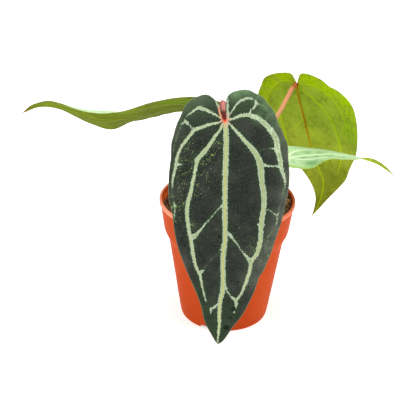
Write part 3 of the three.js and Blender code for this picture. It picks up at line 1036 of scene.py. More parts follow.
@dataclass(frozen=True)
class Petiole:
    """A leaf stalk: a round tube whose radius changes along its path."""

    name: str
    path: tuple[Point3, ...]
    radii: tuple[float, ...] = (2.0, 1.9, 1.8, 1.85, 2.0)
    across: Point3 | None = None
    rings: int = 150
    sides: int = 28
    dome: float = 1.6

    def build(self, material: bpy.types.Material) -> None:
        """Builds the tube: rings square to the path, with domed ends.

        A ring's radius is the stalk's radius times sqrt(1 - x^2), with x the share by which it lies in the
        domed last stretch, so it closes on a point at both ends. The rings turn about the direction across,
        which is level and square to the whole path unless it is given.
        """
        line = evenly_spaced(self.path, self.rings)
        t = np.linspace(0, 1, self.rings + 1)
        tangent = unit(np.gradient(line, axis=0))
        over = unit(np.cross(self.across or unit(np.cross(line[-1] - line[0], (0.0, 0.0, 1.0))), tangent))
        side = np.cross(tangent, over)
        arc = np.linalg.norm(np.diff(line, axis=0), axis=1).sum()
        from_end = np.clip(np.minimum(t, 1 - t) / (self.dome / arc), 0, 1)
        close = np.sqrt(np.clip(1 - (1 - from_end) ** 2, 0, 1))
        radius = value_along(self.radii, t) * close
        angle = 2 * np.pi * np.arange(self.sides) / self.sides
        ridges = 1 + 0.012 * np.sin(5 * angle) + 0.008 * np.sin(11 * angle)
        ring = side[:, None] * np.cos(angle)[:, None] + over[:, None] * np.sin(angle)[:, None]
        points = line[:, None] + ring * (radius[:, None] * ridges)[..., None]
        turned = np.broadcast_to(angle, points.shape[:2]).ravel()
        along = np.repeat(t, self.sides)
        uv = np.stack([turned * 2 / UV_SPAN, along * arc / UV_SPAN], -1)
        # side is 1 on the flank where the finish paints shade.
        values = {"along": along, "side": 0.5 - 0.5 * np.cos(turned)}
        skin = Skin(points.reshape(-1, 3), grid_faces(self.rings + 1, self.sides, closed=True), uv, values)
        settle(piece_from(f"petiole_{self.name}", skin, [material]), Slot.STALK, f"stalk_{self.name}")


# Pot, mix and crown


@dataclass(frozen=True)
class Corner:
    """A corner of a turned profile: radius, height, and the radius that it is rounded with."""

    r: float
    z: float
    fillet: float = 0.0


def rounded_profile(corners: tuple[Corner, ...], steps: int = 6) -> Array:
    """A profile of straight lines with rounded corners, as (radius, height) rows.

    A rounded corner is a quadratic curve between the points where its fillet starts on its two sides.
    """
    points = [np.array([(c.r, c.z) for c in corners[:1]])]
    for before, corner, after in zip(corners, corners[1:], corners[2:]):
        middle = np.array([corner.r, corner.z])
        ways = [np.array([c.r, c.z]) - middle for c in (before, after)]
        reach = [min(corner.fillet, 0.49 * np.linalg.norm(w)) for w in ways]
        start, end = (middle + unit(w) * r for w, r in zip(ways, reach))
        t = np.linspace(0, 1, steps)[:, None]
        curve = (1 - t) ** 2 * start + 2 * t * (1 - t) * middle + t**2 * end
        points.append(curve if corner.fillet else middle[None])
    points.append(np.array([(c.r, c.z) for c in corners[-1:]]))
    return np.concatenate(points)


def subdivided(profile: Array, longest: float) -> Array:
    """A profile with its long stretches cut so that none is longer than longest."""
    parts = [profile[:1]]
    for a, b in zip(profile[:-1], profile[1:]):
        count = max(1, math.ceil(np.linalg.norm(b - a) / longest))
        parts.append(a + (b - a) * (np.arange(1, count + 1) / count)[:, None])
    return np.concatenate(parts)


def turned_skin(profile: Array, segments: int) -> Skin:
    """A profile turned about the Z axis: (r sin a, -r cos a, z) for each angle a."""
    angle = 2 * np.pi * np.arange(segments) / segments
    r, z = profile[:, 0][:, None], profile[:, 1][:, None]
    points = np.stack([r * np.sin(angle), -r * np.cos(angle), z + 0 * angle], -1)
    radius = np.repeat(profile[:, 0], segments)
    faces = grid_faces(len(profile), segments, closed=True)
    return Skin(points.reshape(-1, 3), faces, None, {"radius": radius})


@dataclass(frozen=True)
class Pot:
    """Tapered nursery pot with a step out to a wider band, a thick lip and drainage in its foot."""

    height: float = 115.0
    rim_radius: float = 60.0
    lip_width: float = 2.8
    lip_height: float = 3.2
    band_top: float = 59.0
    band_bottom: Point2 = (55.5, 86.5)
    step_bottom: Point2 = (51.3, 77.5)
    foot: float = 40.2
    wall: float = 1.5
    floor: float = 1.8
    notches: int = 3
    notch: Point3 = (40.0, 15.0, 7.2)
    notch_depth: float = 8.7
    first_notch: float = -111.0
    holes: int = 6
    first_hole: float = 30.0
    hole_radius: float = 3.2
    hole_ring: float = 25.0
    segments: int = 224

    def inside_radius(self, z: float) -> float:
        """Radius of the inner wall at a height, straight between its corners."""
        heights = [self.floor, self.step_bottom[1], self.band_bottom[1], self.height]
        radii = [self.foot - self.wall, self.step_bottom[0] - self.wall, self.band_bottom[0] - self.wall]
        return float(np.interp(z, heights, [*radii, self.rim_radius - self.lip_width]))

    def profile(self) -> Array:
        """The wall's closed profile from the middle of the base, up outside, over the lip and down inside."""
        under_lip = self.height - self.lip_height
        outside = (
            Corner(0, 0),
            Corner(self.foot - 5.2, 0, 0.4),
            Corner(self.foot - 4.6, 0.5, 0.4),
            Corner(self.foot - 3.6, 0.5, 0.4),
            Corner(self.foot - 3.0, 0, 0.4),
            Corner(self.foot - 0.9, 0, 1.6),
            Corner(self.foot + 0.1, 4.6, 3.4),
            Corner(*self.step_bottom, 2.6),
            Corner(*self.band_bottom, 2.6),
            Corner(self.band_top, under_lip - 0.1, 0.5),
            Corner(self.rim_radius, under_lip, 0.7),
            Corner(self.rim_radius, self.height, 1.3),
            Corner(self.rim_radius - self.lip_width, self.height, 1.3),
            Corner(self.rim_radius - self.lip_width - 0.1, self.height - 3.4, 1.2),
            Corner(self.band_bottom[0] - self.wall, self.band_bottom[1] + 0.6, 2.4),
            Corner(self.step_bottom[0] - self.wall, self.step_bottom[1] + 0.6, 2.4),
            Corner(self.foot - self.wall, self.floor + 0.4, 2.4),
            Corner(0, self.floor),
        )
        return subdivided(rounded_profile(outside), 6.0)

    def cutters(self) -> list[bpy.types.Object]:
        """Boxes for the notches of the foot and prisms for the holes of the base."""
        made = []
        for i in range(self.notches):
            work = bmesh.new()
            bmesh.ops.create_cube(work, size=1.0)
            turn = Matrix.Rotation(math.radians(self.first_notch + 360 / self.notches * i), 4, "Z")
            out = (self.foot - self.notch_depth + self.notch[0] / 2) * MM
            shape = Matrix.Diagonal((*(side * MM for side in self.notch), 1.0))
            bmesh.ops.transform(work, verts=work.verts, matrix=turn @ Matrix.Translation((out, 0, 0)) @ shape)
            corners = [e for e in work.edges if abs((e.verts[0].co - e.verts[1].co).z) < 1e-6]
            bmesh.ops.bevel(work, geom=corners, offset=0.7 * MM, segments=3, affect="EDGES")
            made.append(work)
        for i in range(self.holes):
            work = bmesh.new()
            turn = Matrix.Rotation(math.radians(self.first_hole + 360 / self.holes * i), 4, "Z")
            bmesh.ops.create_cone(
                work,
                cap_ends=True,
                segments=32,
                radius1=self.hole_radius * MM,
                radius2=self.hole_radius * MM,
                depth=4 * self.floor * MM,
                matrix=turn @ Matrix.Translation((self.hole_ring * MM, 0, 0)),
            )
            made.append(work)
        objects = []
        for i, work in enumerate(made):
            mesh = bpy.data.meshes.new(f"cutter_{i}")
            work.to_mesh(mesh)
            work.free()
            objects.append(shown(mesh.name, mesh))
        return objects

    def build(self, finish: PotFinish) -> None:
        """Turns the profile, cuts the drainage out of it and dresses it."""
        made = piece_from("pot_shell", turned_skin(self.profile(), self.segments), [finish.material()])
        cutters = self.cutters()
        for cutter in cutters:
            cut = made.modifiers.new(cutter.name, "BOOLEAN")
            cut.operation, cut.solver, cut.object = "DIFFERENCE", "EXACT", cutter
        bpy.context.view_layer.update()
        finished = bpy.data.meshes.new_from_object(made.evaluated_get(bpy.context.evaluated_depsgraph_get()))
        made.modifiers.clear()
        made.data = finished
        for cutter in cutters:
            bpy.data.meshes.remove(cutter.data)
        finished.shade_smooth()
        finished.set_sharp_from_angle(angle=math.radians(POT_SHARP))
        settle(made, Slot.POT, "pot")


SOIL = GrainFinish("potting_mix", (22, 14, 14), (124, 88, 62), (224, 176, 126), 0.7, 0.7)
BARK = GrainFinish("bark_chips", (64, 38, 30), (186, 132, 92), (246, 204, 156), 0.6, 0.3)
WHITE = GrainFinish("white_grains", (176, 168, 156), (222, 216, 204), (246, 243, 236), 0.8, 0.3)
HUSK = GrainFinish("papery_scale", (112, 78, 46), (156, 118, 78), (196, 160, 116), 0.5, 0.2, 0.2)
STEM = GrainFinish("crown_stem", (58, 46, 26), (98, 84, 46), (142, 122, 74), 0.8, 0.4)


@dataclass(frozen=True)
class Lumps:
    """Many small lumps of one kind, strewn over the mix.

    half_length is the typical one, and width and thickness are shares of it. spread holds the least and
    the greatest share of the half length, and skew the power that makes the small ones more common. power,
    below 1, makes a ball blocky, and roughness is how far its points stray. tilt is the typical turn off
    the level in radians, and proud the share of the half length by which a middle lies above the top.
    """

    name: str
    finish: GrainFinish
    count: int
    half_length: float
    width: float
    thickness: float
    spread: Point2
    seed: int
    detail: int = 6
    skew: float = 1.3
    power: float = 0.72
    roughness: float = 0.16
    tilt: float = 0.35
    proud: float = 0.25

    def ball(self) -> Array:
        """Points of a blocky ball, row by row: each coordinate of a unit ball raised to power, sign kept."""
        lat = np.linspace(-np.pi / 2, np.pi / 2, self.detail + 1)[:, None]
        lon = (2 * np.pi * np.arange(self.detail + 2) / (self.detail + 2))[None, :]
        ball = np.stack([np.cos(lat) * np.cos(lon), np.cos(lat) * np.sin(lon), np.sin(lat) + 0 * lon], -1)
        return (np.sign(ball) * np.abs(ball) ** self.power).reshape(1, -1, 3)


@dataclass(frozen=True)
class PottingMix:
    """Plug of potting mix with a crumbly top: bark chips, crumbs and white grains lie on it.

    Each row of rough is the height, cell width and seed of one lattice noise on the top. The lumps lie from
    inner to spread away from the middle, and none reaches past brink.
    """

    top: float = 104.5
    dish: float = 4.6
    rise: float = 2.8
    bumps: float = 0.8
    rough: tuple[tuple[float, float, int], ...] = ((0.55, 1.6, 3), (0.8, 4.0, 4))
    sunk: float = 0.3
    outer: float = 49.0
    inner: float = 8.5
    spread: float = 54.0
    brink: float = 55.2
    gap: float = 0.35
    floor_gap: float = 0.3
    levels: tuple[float, ...] = (6.0, 40.0, 76.0, 84.0, 90.0, 99.0)
    rings: int = 90
    segments: int = 260
    lumps: tuple[Lumps, ...] = (
        Lumps("bark_chips", BARK, 430, 2.5, 0.6, 0.36, (0.35, 1.0), 11),
        Lumps("mix_crumbs", SOIL, 1500, 1.25, 0.8, 0.7, (0.4, 1.1), 12, detail=5),
        Lumps("white_grains", WHITE, 70, 1.3, 0.85, 0.75, (0.4, 1.0), 13),
    )

    def height(self, x: Array, y: Array) -> Array:
        """Height of the top at a place: a shallow dish, a slope towards +X and a few crossed waves."""
        waves = np.sin(0.31 * x + 1.1) * np.cos(0.27 * y - 0.6) + 0.6 * np.sin(0.62 * x - 0.5 * y)
        waves = waves + 0.5 * np.cos(0.83 * y + 0.41 * x + 2)
        dished = self.dish * (x**2 + y**2) / self.outer**2
        return self.top + dished + self.rise * x / self.outer + self.bumps * waves

    def plug(self, pot: Pot) -> Skin:
        """The plug's skin: a turned wall inside the pot, and a top that adds lattice noise to its height."""
        levels = np.array([pot.floor + self.floor_gap, *self.levels])
        wall = np.array([pot.inside_radius(z) - self.gap for z in levels])
        edge = pot.inside_radius(self.top + self.dish) - self.gap
        radius = np.concatenate([[0.0], wall, edge * (1 - np.linspace(0, 1, self.rings + 1))])
        angle = 2 * np.pi * np.arange(self.segments) / self.segments
        x, y = radius[:, None] * np.sin(angle), -radius[:, None] * np.cos(angle)
        z = np.concatenate([[levels[0]], levels, np.zeros(self.rings + 1)])[:, None] + 0 * x
        above = slice(len(levels) + 1, None)
        places = np.stack([x[above].ravel(), y[above].ravel()], -1)
        rough = sum(height * lattice_noise(places, cell, seed) for height, cell, seed in self.rough)
        z[above] = self.height(x[above], y[above]) + rough.reshape(x[above].shape) - self.sunk
        points = np.stack([x, y, z], -1).reshape(-1, 3)
        faces = grid_faces(len(radius), self.segments, closed=True)
        return Skin(points, faces, None, {"piece": np.full(len(points), 0.5)})

    def scattered(self, lumps: Lumps) -> Skin:
        """Many lumps on the top as one skin, worked out together.

        Each is a blocky ball scaled on three axes, roughened, turned at random about X, Y and Z, and laid on
        the top. Places are spread evenly over the area by taking the root of an even share.
        """
        random, count = np.random.default_rng(lumps.seed), lumps.count
        ball, across = lumps.ball(), lumps.detail + 2
        length = lumps.half_length * random.uniform(*lumps.spread, count) ** lumps.skew
        wide, thick = random.uniform(0.6, 1.3, count), random.uniform(0.6, 1.4, count)
        shares = np.stack([np.ones(count), lumps.width * wide, lumps.thickness * thick], -1)
        points = ball * (length[:, None] * shares)[:, None, :]
        points = points * (1 + random.uniform(-lumps.roughness, lumps.roughness, (count, ball.shape[1], 1)))
        points[:, :across] = points[:, :1]
        points[:, -across:] = points[:, -1:]
        yaw = random.uniform(0, 2 * np.pi, count)
        tilt, lean = random.normal(0, lumps.tilt, count), random.normal(0, lumps.tilt, count)
        for axis, turn in ((0, tilt), (1, lean), (2, yaw)):
            a, b = [k for k in range(3) if k != axis]
            c, s = np.cos(turn)[:, None], np.sin(turn)[:, None]
            first, second = points[..., a].copy(), points[..., b].copy()
            points[..., a], points[..., b] = c * first - s * second, s * first + c * second
        reach = np.sqrt(random.uniform((self.inner / self.spread) ** 2, 1, count)) * self.spread
        reach = np.minimum(reach, self.brink - length)
        turn = random.uniform(0, 2 * np.pi, count)
        x, y = reach * np.cos(turn), reach * np.sin(turn)
        middle = np.stack([x, y, self.height(x, y) + lumps.proud * length], -1)
        points = (points + middle[:, None, :]).reshape(-1, 3)
        first_points = np.arange(count)[:, None, None] * ball.shape[1]
        faces = (grid_faces(lumps.detail + 1, across, closed=True)[None] + first_points).reshape(-1, 4)
        return Skin(points, faces, None, {"piece": np.repeat(random.uniform(0, 1, count), ball.shape[1])})

    def build(self, pot: Pot) -> None:
        """Builds the plug and what lies on it."""
        paints = {finish: finish.material() for finish in (SOIL, BARK, WHITE)}
        plug = piece_from("potting_mix_plug", self.plug(pot), [paints[SOIL]], MIX_SHARP)
        settle(plug, Slot.MIX, "potting_mix")
        for lumps in self.lumps:
            skin = self.scattered(lumps)
            settle(piece_from(lumps.name, skin, [paints[lumps.finish]], MIX_SHARP), Slot.MIX)


@dataclass(frozen=True)
class Crown:
    """Short knobbly stem at the middle of the pot, wrapped in papery scales."""

    bottom: float = 92.0
    shoulder: float = 108.0
    top: float = 117.0
    radius: float = 8.2
    top_radius: float = 5.2
    headings: tuple[float, ...] = (-135.0, -45.0, 95.0)
    scale_base: float = 101.5
    scale_root: float = 5.6
    scale_length: float = 24.0
    half_thickness: float = 0.32
    rings: int = 12

    def stem(self) -> Skin:
        """The stem: a turned profile roughened by lattice noise."""
        corners = (
            Corner(0, self.bottom),
            Corner(self.radius - 2, self.bottom, 1.0),
            Corner(self.radius, self.bottom + 2, 1.5),
            Corner(self.radius, self.shoulder, 3.0),
            Corner(self.top_radius + 1, self.top - 2, 2.0),
            Corner(self.top_radius - 1, self.top, 1.5),
            Corner(0, self.top),
        )
        skin = turned_skin(subdivided(rounded_profile(corners), 0.8), 72)
        away = unit(skin.points * (1, 1, 0))
        skin.points = skin.points + away * (0.45 * (lattice_noise(skin.points, 2.4, 21) - 1))[:, None]
        skin.values = {"piece": np.full(len(skin.points), 0.5)}
        return skin

    def scale(self, heading: float) -> Skin:
        """One scale: a small blade, strongly curled round the stem, wrinkled, and thin at its margin.

        Its thickness falls with sqrt(1 - 0.9 u^6) of the share u from the midrib to the margin.
        """
        turn = math.radians(heading)
        half = ((0, 0), (-1, 3), (3, 4.6), (10, 5), (17, 3.4), (self.scale_length, 0))
        form = BladeForm(
            base=(self.scale_root * math.cos(turn), self.scale_root * math.sin(turn), self.scale_base),
            length=self.scale_length,
            heading=(heading, heading),
            pitch=(84.0, 80.0, 62.0),
            roll=(0.0, 0.0),
            curl=(-330.0, -300.0, -200.0),
            left=half,
            right=half,
        )
        skins = []
        for side in Half:
            s, v = form.half_grid(side, 40, self.rings, 0.25)
            middle, normal = form.surface(s.ravel(), v.ravel()), form.normals(s.ravel(), v.ravel())
            share = np.tile(np.linspace(0, 1, self.rings + 1), len(s))[:, None]
            thin = self.half_thickness * np.sqrt(1 - 0.9 * share**6)
            wrinkle = 0.14 * np.sin(2.4 * v.ravel())[:, None]
            values = {"piece": np.full(len(middle), 0.8)}
            top, bottom = (Skin(middle + normal * (wrinkle + h), None, None, values) for h in (thin, -thin))
            skins += two_faced(side, s.shape, top, bottom)
        return join_skins(skins)

    def build(self) -> None:
        """Builds the stem and its scales."""
        settle(piece_from("crown_stem", self.stem(), [STEM.material()]), Slot.CROWN, "crown")
        scales = join_skins([self.scale(heading) for heading in self.headings])
        settle(piece_from("crown_scales", scales, [HUSK.material()]), Slot.CROWN)


# The plant's own measures

# Stations and half widths of a usual half outline, as shares of the leaf's length.
TYPICAL_HALF: tuple[Point2, ...] = (
    (0, 0), (-0.06, 0.02), (-0.1, 0.055), (-0.11, 0.11), (-0.085, 0.17), (-0.01, 0.22), (0.12, 0.255),
    (0.26, 0.265), (0.45, 0.235), (0.62, 0.185), (0.78, 0.115), (0.91, 0.045), (1, 0),
)


def typical_half(length: float, width_share: float, drawn_out: float = 0.0) -> tuple[Point2, ...]:
    """The typical half outline at a leaf's own length.

    Args:
        length: from the stalk to the tip.
        width_share: scales all widths.
        drawn_out: share taken off the widths towards the tip, in full from 0.84 of the length on.

    Returns:
        Points (station, half width), with the width made smaller by drawn_out times a ramp from 0.7 to 0.84.
    """
    stations, widths = np.array(TYPICAL_HALF, float).T
    widths = widths * length * width_share * (1 - drawn_out * smooth_step(stations, 0.7, 0.84))
    return tuple(zip((stations * length).tolist(), widths.tolist()))


FRONT_FORM = BladeForm(
    base=(-4.2, -50.0, 208.0),
    length=191.5,
    heading=(-90.0, -90.0, -90.0),
    pitch=(-68.0, -79.0, -84.0),
    roll=(0.0, 0.0),
    curl=(13.0, 13.0, 9.0),
    bow=(0.0, -2.2, -3.0, -2.0, 0.0),
    ripple=Ripple(0.8, 0.8, 2.6, 0.4),
    right=(
        (0, 0), (-0.6, 1.9), (-3, 3.3), (-6.7, 4.5), (-10.4, 5.2), (-14.4, 7), (-17.3, 10.1), (-19.4, 13.6),
        (-19.6, 17.5), (-18.4, 21), (-16.8, 25), (-14.1, 28.6), (-11, 31.7), (-5.8, 34.2), (-1, 36), (3, 38),
        (8, 39.8), (14, 41.5), (19.5, 43.2), (26, 43.8), (32, 44.1), (38, 45.1), (45, 46), (53, 46.4),
        (61, 46.6), (67, 45.9), (72, 44.5), (79, 43), (88, 42), (96, 40.6), (104, 38.7), (111, 36.4),
        (119, 33.1), (127, 29.6), (135, 25.8), (143, 22), (152, 18), (160, 15.3), (168, 13.2), (174, 10.6),
        (180, 7.3), (186, 3.8), (190, 1.3), (191.5, 0),
    ),
    left=(
        (0, 0), (-4, 0.7), (-8, 0.6), (-13, 0.5), (-17.3, 0.8), (-20.4, 2.8), (-22.6, 6.2), (-24, 11),
        (-24.6, 15.5), (-24, 19.6), (-22.3, 22.8), (-21.1, 26), (-19.4, 29.2), (-16.6, 32), (-13.4, 34.4),
        (-10.6, 37.2), (-6.6, 40), (-2, 41.9), (2, 43.3), (6, 45.6), (10.6, 47.4), (15.8, 50), (21, 51),
        (27, 51.1), (33, 51.4), (41, 52.2), (50, 52), (59, 51), (67, 49.2), (73, 48.2), (80, 46.7),
        (87, 44.9), (94, 42.8), (101, 40.7), (110, 38.5), (118, 35.8), (124.5, 33.4), (128.5, 30.8),
        (135, 29), (142, 27.3), (148, 25.2), (154, 23), (161, 20.2), (168, 16.6), (174, 12.6), (180, 9.4),
        (186, 6.2), (190, 3), (191.5, 0),
    ),
)

LEFT_FORM = BladeForm(
    base=(-27.4, 24.0, 191.0),
    length=161.0,
    heading=(186.0, 180.0, 174.0),
    pitch=(5.5, -13.5, -17.0, 17.0, 6.0, -39.0),
    roll=(-30.0, -28.5, -29.0, -34.5, -29.0, -24.5),
    curl=(-2.5, 0.0, 4.5, 4.0),
    ripple=Ripple(0.3, 1.5, 4.75, 1.9),
    left=typical_half(161.0, 0.98),
    right=typical_half(161.0, 0.98),
    lift_left=Lift(
        (0.2, 0.6, 0.4, -0.2, 0.0, 0.0, -0.2, 0.4, -0.2, -1.6, -2.6, -1.8, 0.6, 2.1, 1.2, 0.8, 0.0),
        (0.0, 0.0, 0.0, 0.0, 0.0, 0.0, 0.4, 2.2, 3.5, 2.8, 1.5, 0.8, 0.2, 0.0, 0.0, 0.0, 0.0),
    ),
    lift_right=Lift(
        (0.5, 1.0, 0.3, -2.2, -0.7, 1.6, 0.4, 1.3, -0.5, 0.0, -0.6, 0.0, 0.0, -0.3, 0.0, 0.3, 0.0),
    ),
)

BACK_FORM = BladeForm(
    base=(57.2, 38.0, 209.2),
    length=160.0,
    heading=(65.0, 55.0, 50.0),
    pitch=(-60.0, -66.0, -66.0, -76.0, -120.0),
    roll=(0.0, 0.0),
    curl=(12.0, 12.0),
    bow=(0.0, 1.0, 4.5, 7.0, 4.0),
    ripple=Ripple(0.8, 0.8, 2.2, 1.2),
    right=(
        (0, 0), (-5, 2.6), (-12, 4), (-15, 8), (-15.2, 14.5), (-12, 25), (-6, 32), (-4, 39), (3.5, 48),
        (12, 53), (24, 55.8), (38, 56.8), (53, 55), (68, 50.5), (91, 39), (105, 32.5), (121, 21.5),
        (136, 11.5), (150, 4.2), (160, 0),
    ),
    left=(
        (0, 0), (-5, 1.2), (-10.5, 3), (-12.2, 6.5), (-10.4, 15), (-6.5, 24), (-1, 30.5), (8, 35), (22, 41),
        (42, 45.5), (64, 45), (86, 38), (103, 28), (114, 21), (122, 15), (132, 8), (141, 3.2), (151, 1),
        (160, 0),
    ),
)

YOUNG_FORM = BladeForm(
    base=(44.0, 0.0, 156.6),
    length=109.0,
    heading=(2.0, 6.0, 12.0),
    pitch=(-0.5, 1.8, -14.6, -47.7),
    roll=(-0.6, 9.8, 19.7, 20.0),
    curl=(8.0, 3.0, 8.0),
    ripple=Ripple(0.2, 1.6, 2.5, 1.4),
    left=typical_half(109.0, 0.93, 0.45),
    right=typical_half(109.0, 0.93, 0.45),
    lift_left=Lift((0.0, 0.0, 0.0, 0.0, 0.0, 0.0, 0.0, 0.0, 0.0, 0.0, 0.0, 0.0, -0.4, 0.1, 0.9, 1.2, 0.0)),
    lift_right=Lift((0.0, 0.0, 0.0, 0.0, 0.2, 1.9, 1.6, 0.1, 0.0, 0.5, 2.0, 1.8, 1.0, 0.5, 0.3, 0.2, 0.0)),
)

# Veins of the front leaf, as (station, distance). Its right half is on the left as the viewer sees it.
FRONT_VEINS = (
    Vein(
        ((0, 0), (9, -1.3), (24, -1.8), (46, -1.9), (70, -2.4), (85, -3.1), (97, -3.4), (110, -2.4),
         (122, -2.5), (133, -3.2), (142, -2.9), (152, -1.1), (163, -0.7), (174, -1), (182, -0.5),
         (190.5, 0)),
        (1.7, 2.1, 2.1, 2.1, 2.0, 1.9, 2.1, 1.9, 2.0, 2.0, 1.9, 2.0, 1.7, 1.4, 1.0, 0.5),
        1.0,
    ),
    Vein(
        ((0.5, 0.3), (7.5, 3.4), (16, 9), (24, 14), (31.5, 20), (40, 22.2), (49, 23.7), (59, 25.4),
         (68, 27.6), (76, 28), (85, 27.1), (95, 25.2), (104, 23.3), (111, 22.3), (119, 20.4), (125, 18.2),
         (129, 16), (135, 14.8), (143, 13.1), (152.5, 10.4)),
        (0.6, 0.9, 1.2, 1.4, 1.7, 1.3, 1.1, 1.2, 1.4, 1.5, 1.4, 1.4, 1.4, 1.3, 1.4, 1.2, 1.0, 0.8, 0.6, 0.1),
        0.5,
    ),
    Vein(
        ((0.5, -0.8), (4.2, -5), (10.7, -11.4), (18.7, -19.2), (24.6, -24.6), (31, -28.2), (38, -30.2),
         (47, -31.2), (57.4, -33.2), (66, -33.9), (73, -33.5), (79, -32.9), (85, -32.3), (92, -32.3),
         (99, -32), (107, -30.4), (112, -28), (117, -25.3), (123, -24.8), (130, -23), (138, -20.4),
         (144, -18.4), (149.5, -14.8)),
        (0.5, 0.8, 1.2, 1.5, 2.0, 2.4, 2.5, 2.1, 2.1, 2.0, 1.9, 2.0, 1.8, 1.7, 1.8, 1.6, 1.4, 1.3, 1.2, 0.8,
         0.7),
        0.6,
    ),
    Vein(
        ((0.5, 0.8), (2.5, 6.4), (3.6, 11), (5.5, 16), (7.4, 20.6), (9, 24), (12, 26.5), (18, 31),
         (25, 35.2), (31.4, 37.3), (37, 38), (41, 38.8), (46, 39.8), (51.6, 40.7), (56, 40.3)),
        (0.6, 0.8, 1.1, 1.2, 1.2, 1.1, 1.0, 1.1, 1.0, 0.8, 0.4),
        0.4,
    ),
    Vein(((8.8, 23.5), (6.4, 26.4), (4, 29.4), (1.8, 31.6), (0.2, 32.4)), (0.9, 0.55, 0.5, 1.1, 0.3)),
    Vein(((2.2, 31.2), (4.4, 34.8)), (1.0, 0.4)),
    Vein(
        ((0.2, -1.5), (-1.2, -6.9), (-3.1, -10.6), (-4.4, -15.1), (-4.3, -20), (-2.3, -26), (1.5, -31.6),
         (6, -36), (11, -40), (16, -42.2), (22, -43.1), (27, -44.6), (32, -46), (36.5, -46.5), (43, -49),
         (48, -50.4), (54, -51)),
        (0.7, 0.9, 1.2, 1.3, 1.8, 1.6, 1.9, 2.1, 2.1, 2.1, 2.3, 1.9, 1.9, 1.7, 1.2, 0.7, 0.1),
        0.35,
    ),
    Vein(((-4.4, -19.5), (-8.8, -20.5)), (1.4, 0.2)),
    Vein(((22, -43), (21.6, -39.6), (21.5, -36.2)), (1.6, 0.5, 0.1)),
    Vein(
        ((-0.5, 1.6), (-3.3, 6.6), (-5.4, 10.5), (-7.1, 14.3), (-8.4, 17.7), (-9, 20.4), (-8, 23),
         (-5.8, 25.9), (-3.7, 28.5), (-1.6, 31)),
        (0.4, 0.6, 0.8, 1.1, 1.3, 0.8, 0.5, 0.1),
        0.3,
    ),
    Vein(
        ((-0.5, -2), (-4.5, -3.8), (-7.4, -5.6), (-10.8, -7.7), (-14.2, -10.4), (-16.7, -14), (-17.8, -18),
         (-17.2, -21.8)),
        (0.7, 0.35, 0.4, 0.6, 0.7, 0.9, 0.8, 0.3),
    ),
    Vein(((-16.4, -23.6), (-14, -24.4), (-11.4, -23.2), (-9, -21.8)), (0.5, 1.1, 0.8, 0.2)),
    Vein(((-14, -24.4), (-13.4, -27.4)), (1.0, 0.1)),
    Vein(((-1, -2.2), (-4.4, -2.3), (-7, -2.1), (-10.3, -1.9), (-14.3, -1.7), (-18, -1.4)),
         (1.3, 1.0, 0.8, 0.7, 0.6, 0.2)),
    Vein(((-8.6, 4.9), (-9.7, 5.2), (-12.1, 6), (-14.8, 7), (-18, 8.4)), (0.2, 0.7, 0.8, 0.8, 0.3)),
    Vein(((35, -31), (35.3, -33.6), (35.7, -38), (36, -43), (37, -47)), (1.8, 0.8, 0.5, 0.7, 1.5)),
    Vein(((67.5, -33), (70.3, -36), (72, -38.6), (74, -41.6), (76.2, -45), (73.8, -46.6)),
         (1.0, 0.3, 0.25, 0.35, 0.5, 0.2)),
    Vein(((76.2, -45), (80.3, -45.3), (84, -44.8)), (0.4, 0.2, 0.05)),
    Vein(((68, -1), (70, 1.2), (74, 4.5), (80, 9.2), (86, 14), (91, 17.6), (96, 21.8)),
         (0.8, 0.15, 0.2, 0.3, 0.5, 0.8, 1.9)),
    Vein(((91, -4), (93.6, -7.6), (98, -11.1), (106, -17), (111, -21.2), (116, -25)),
         (1.7, 0.8, 0.4, 0.4, 0.7, 2.0)),
    Vein(((124, 13.2), (126, 15.4), (127.5, 17.2)), (0.2, 1.4, 1.2)),
    Vein(((105.8, -0.6), (106.4, 0.4)), (0.9, 0.1)),
    Vein(((134.5, -2.6), (138, -5), (142, -6.4), (147.6, -10.8), (150, -13.6), (154, -14.6), (158.5, -13.2),
          (162.5, -13)), (1.3, 0.9, 0.5, 0.4, 1.3, 1.1, 0.8, 0.1)),
    Vein(((152.4, -0.6), (155, 1.6), (157.8, 4.6), (158.4, 6.3), (162.8, 6.3)), (1.0, 0.7, 0.9, 0.8, 0.2)),
    Vein(((84, -33.6), (83.7, -29)), (1.7, 0.4)),
    Vein(((36.5, 38), (36.9, 35.2), (36.5, 32)), (1.4, 0.6, 0.1)),
    Vein(((31, 20), (33, 24.4)), (1.2, 0.1)),
    Vein(((67.5, 39.6), (70, 38.4), (71, 36)), (0.1, 0.45, 0.05)),
    Vein(((70, 38.4), (75, 38), (80, 38.8)), (0.4, 0.25, 0.05)),
)

# Faint lines between the veins, where the dark ground turns a little paler.
FRONT_TRACES = (
    ((21.5, -36.5), (22.2, -32), (25.3, -27)),
    ((-13.5, -26.8), (-12, -30), (-9.4, -33), (-6.9, -34.7), (-3.8, -34), (0, -31.8)),
    ((56, 40.4), (62.5, 40), (69, 39), (75.4, 38.4), (83, 38.6)),
    ((50.5, -50), (55.5, -49.3), (63.7, -47.9), (74.5, -45.9)),
    ((78, -46), (84, -44.6), (89, -41.6), (96, -38.6), (104, -37)),
    ((105.6, 0), (108, 1), (111, 4), (115, 8), (119.3, 10.8), (124.3, 13)),
    ((67.5, 0), (74, 4.6), (80, 9.2)),
    ((4.6, 34.4), (12, 37), (20, 39.6), (30, 41)),
)

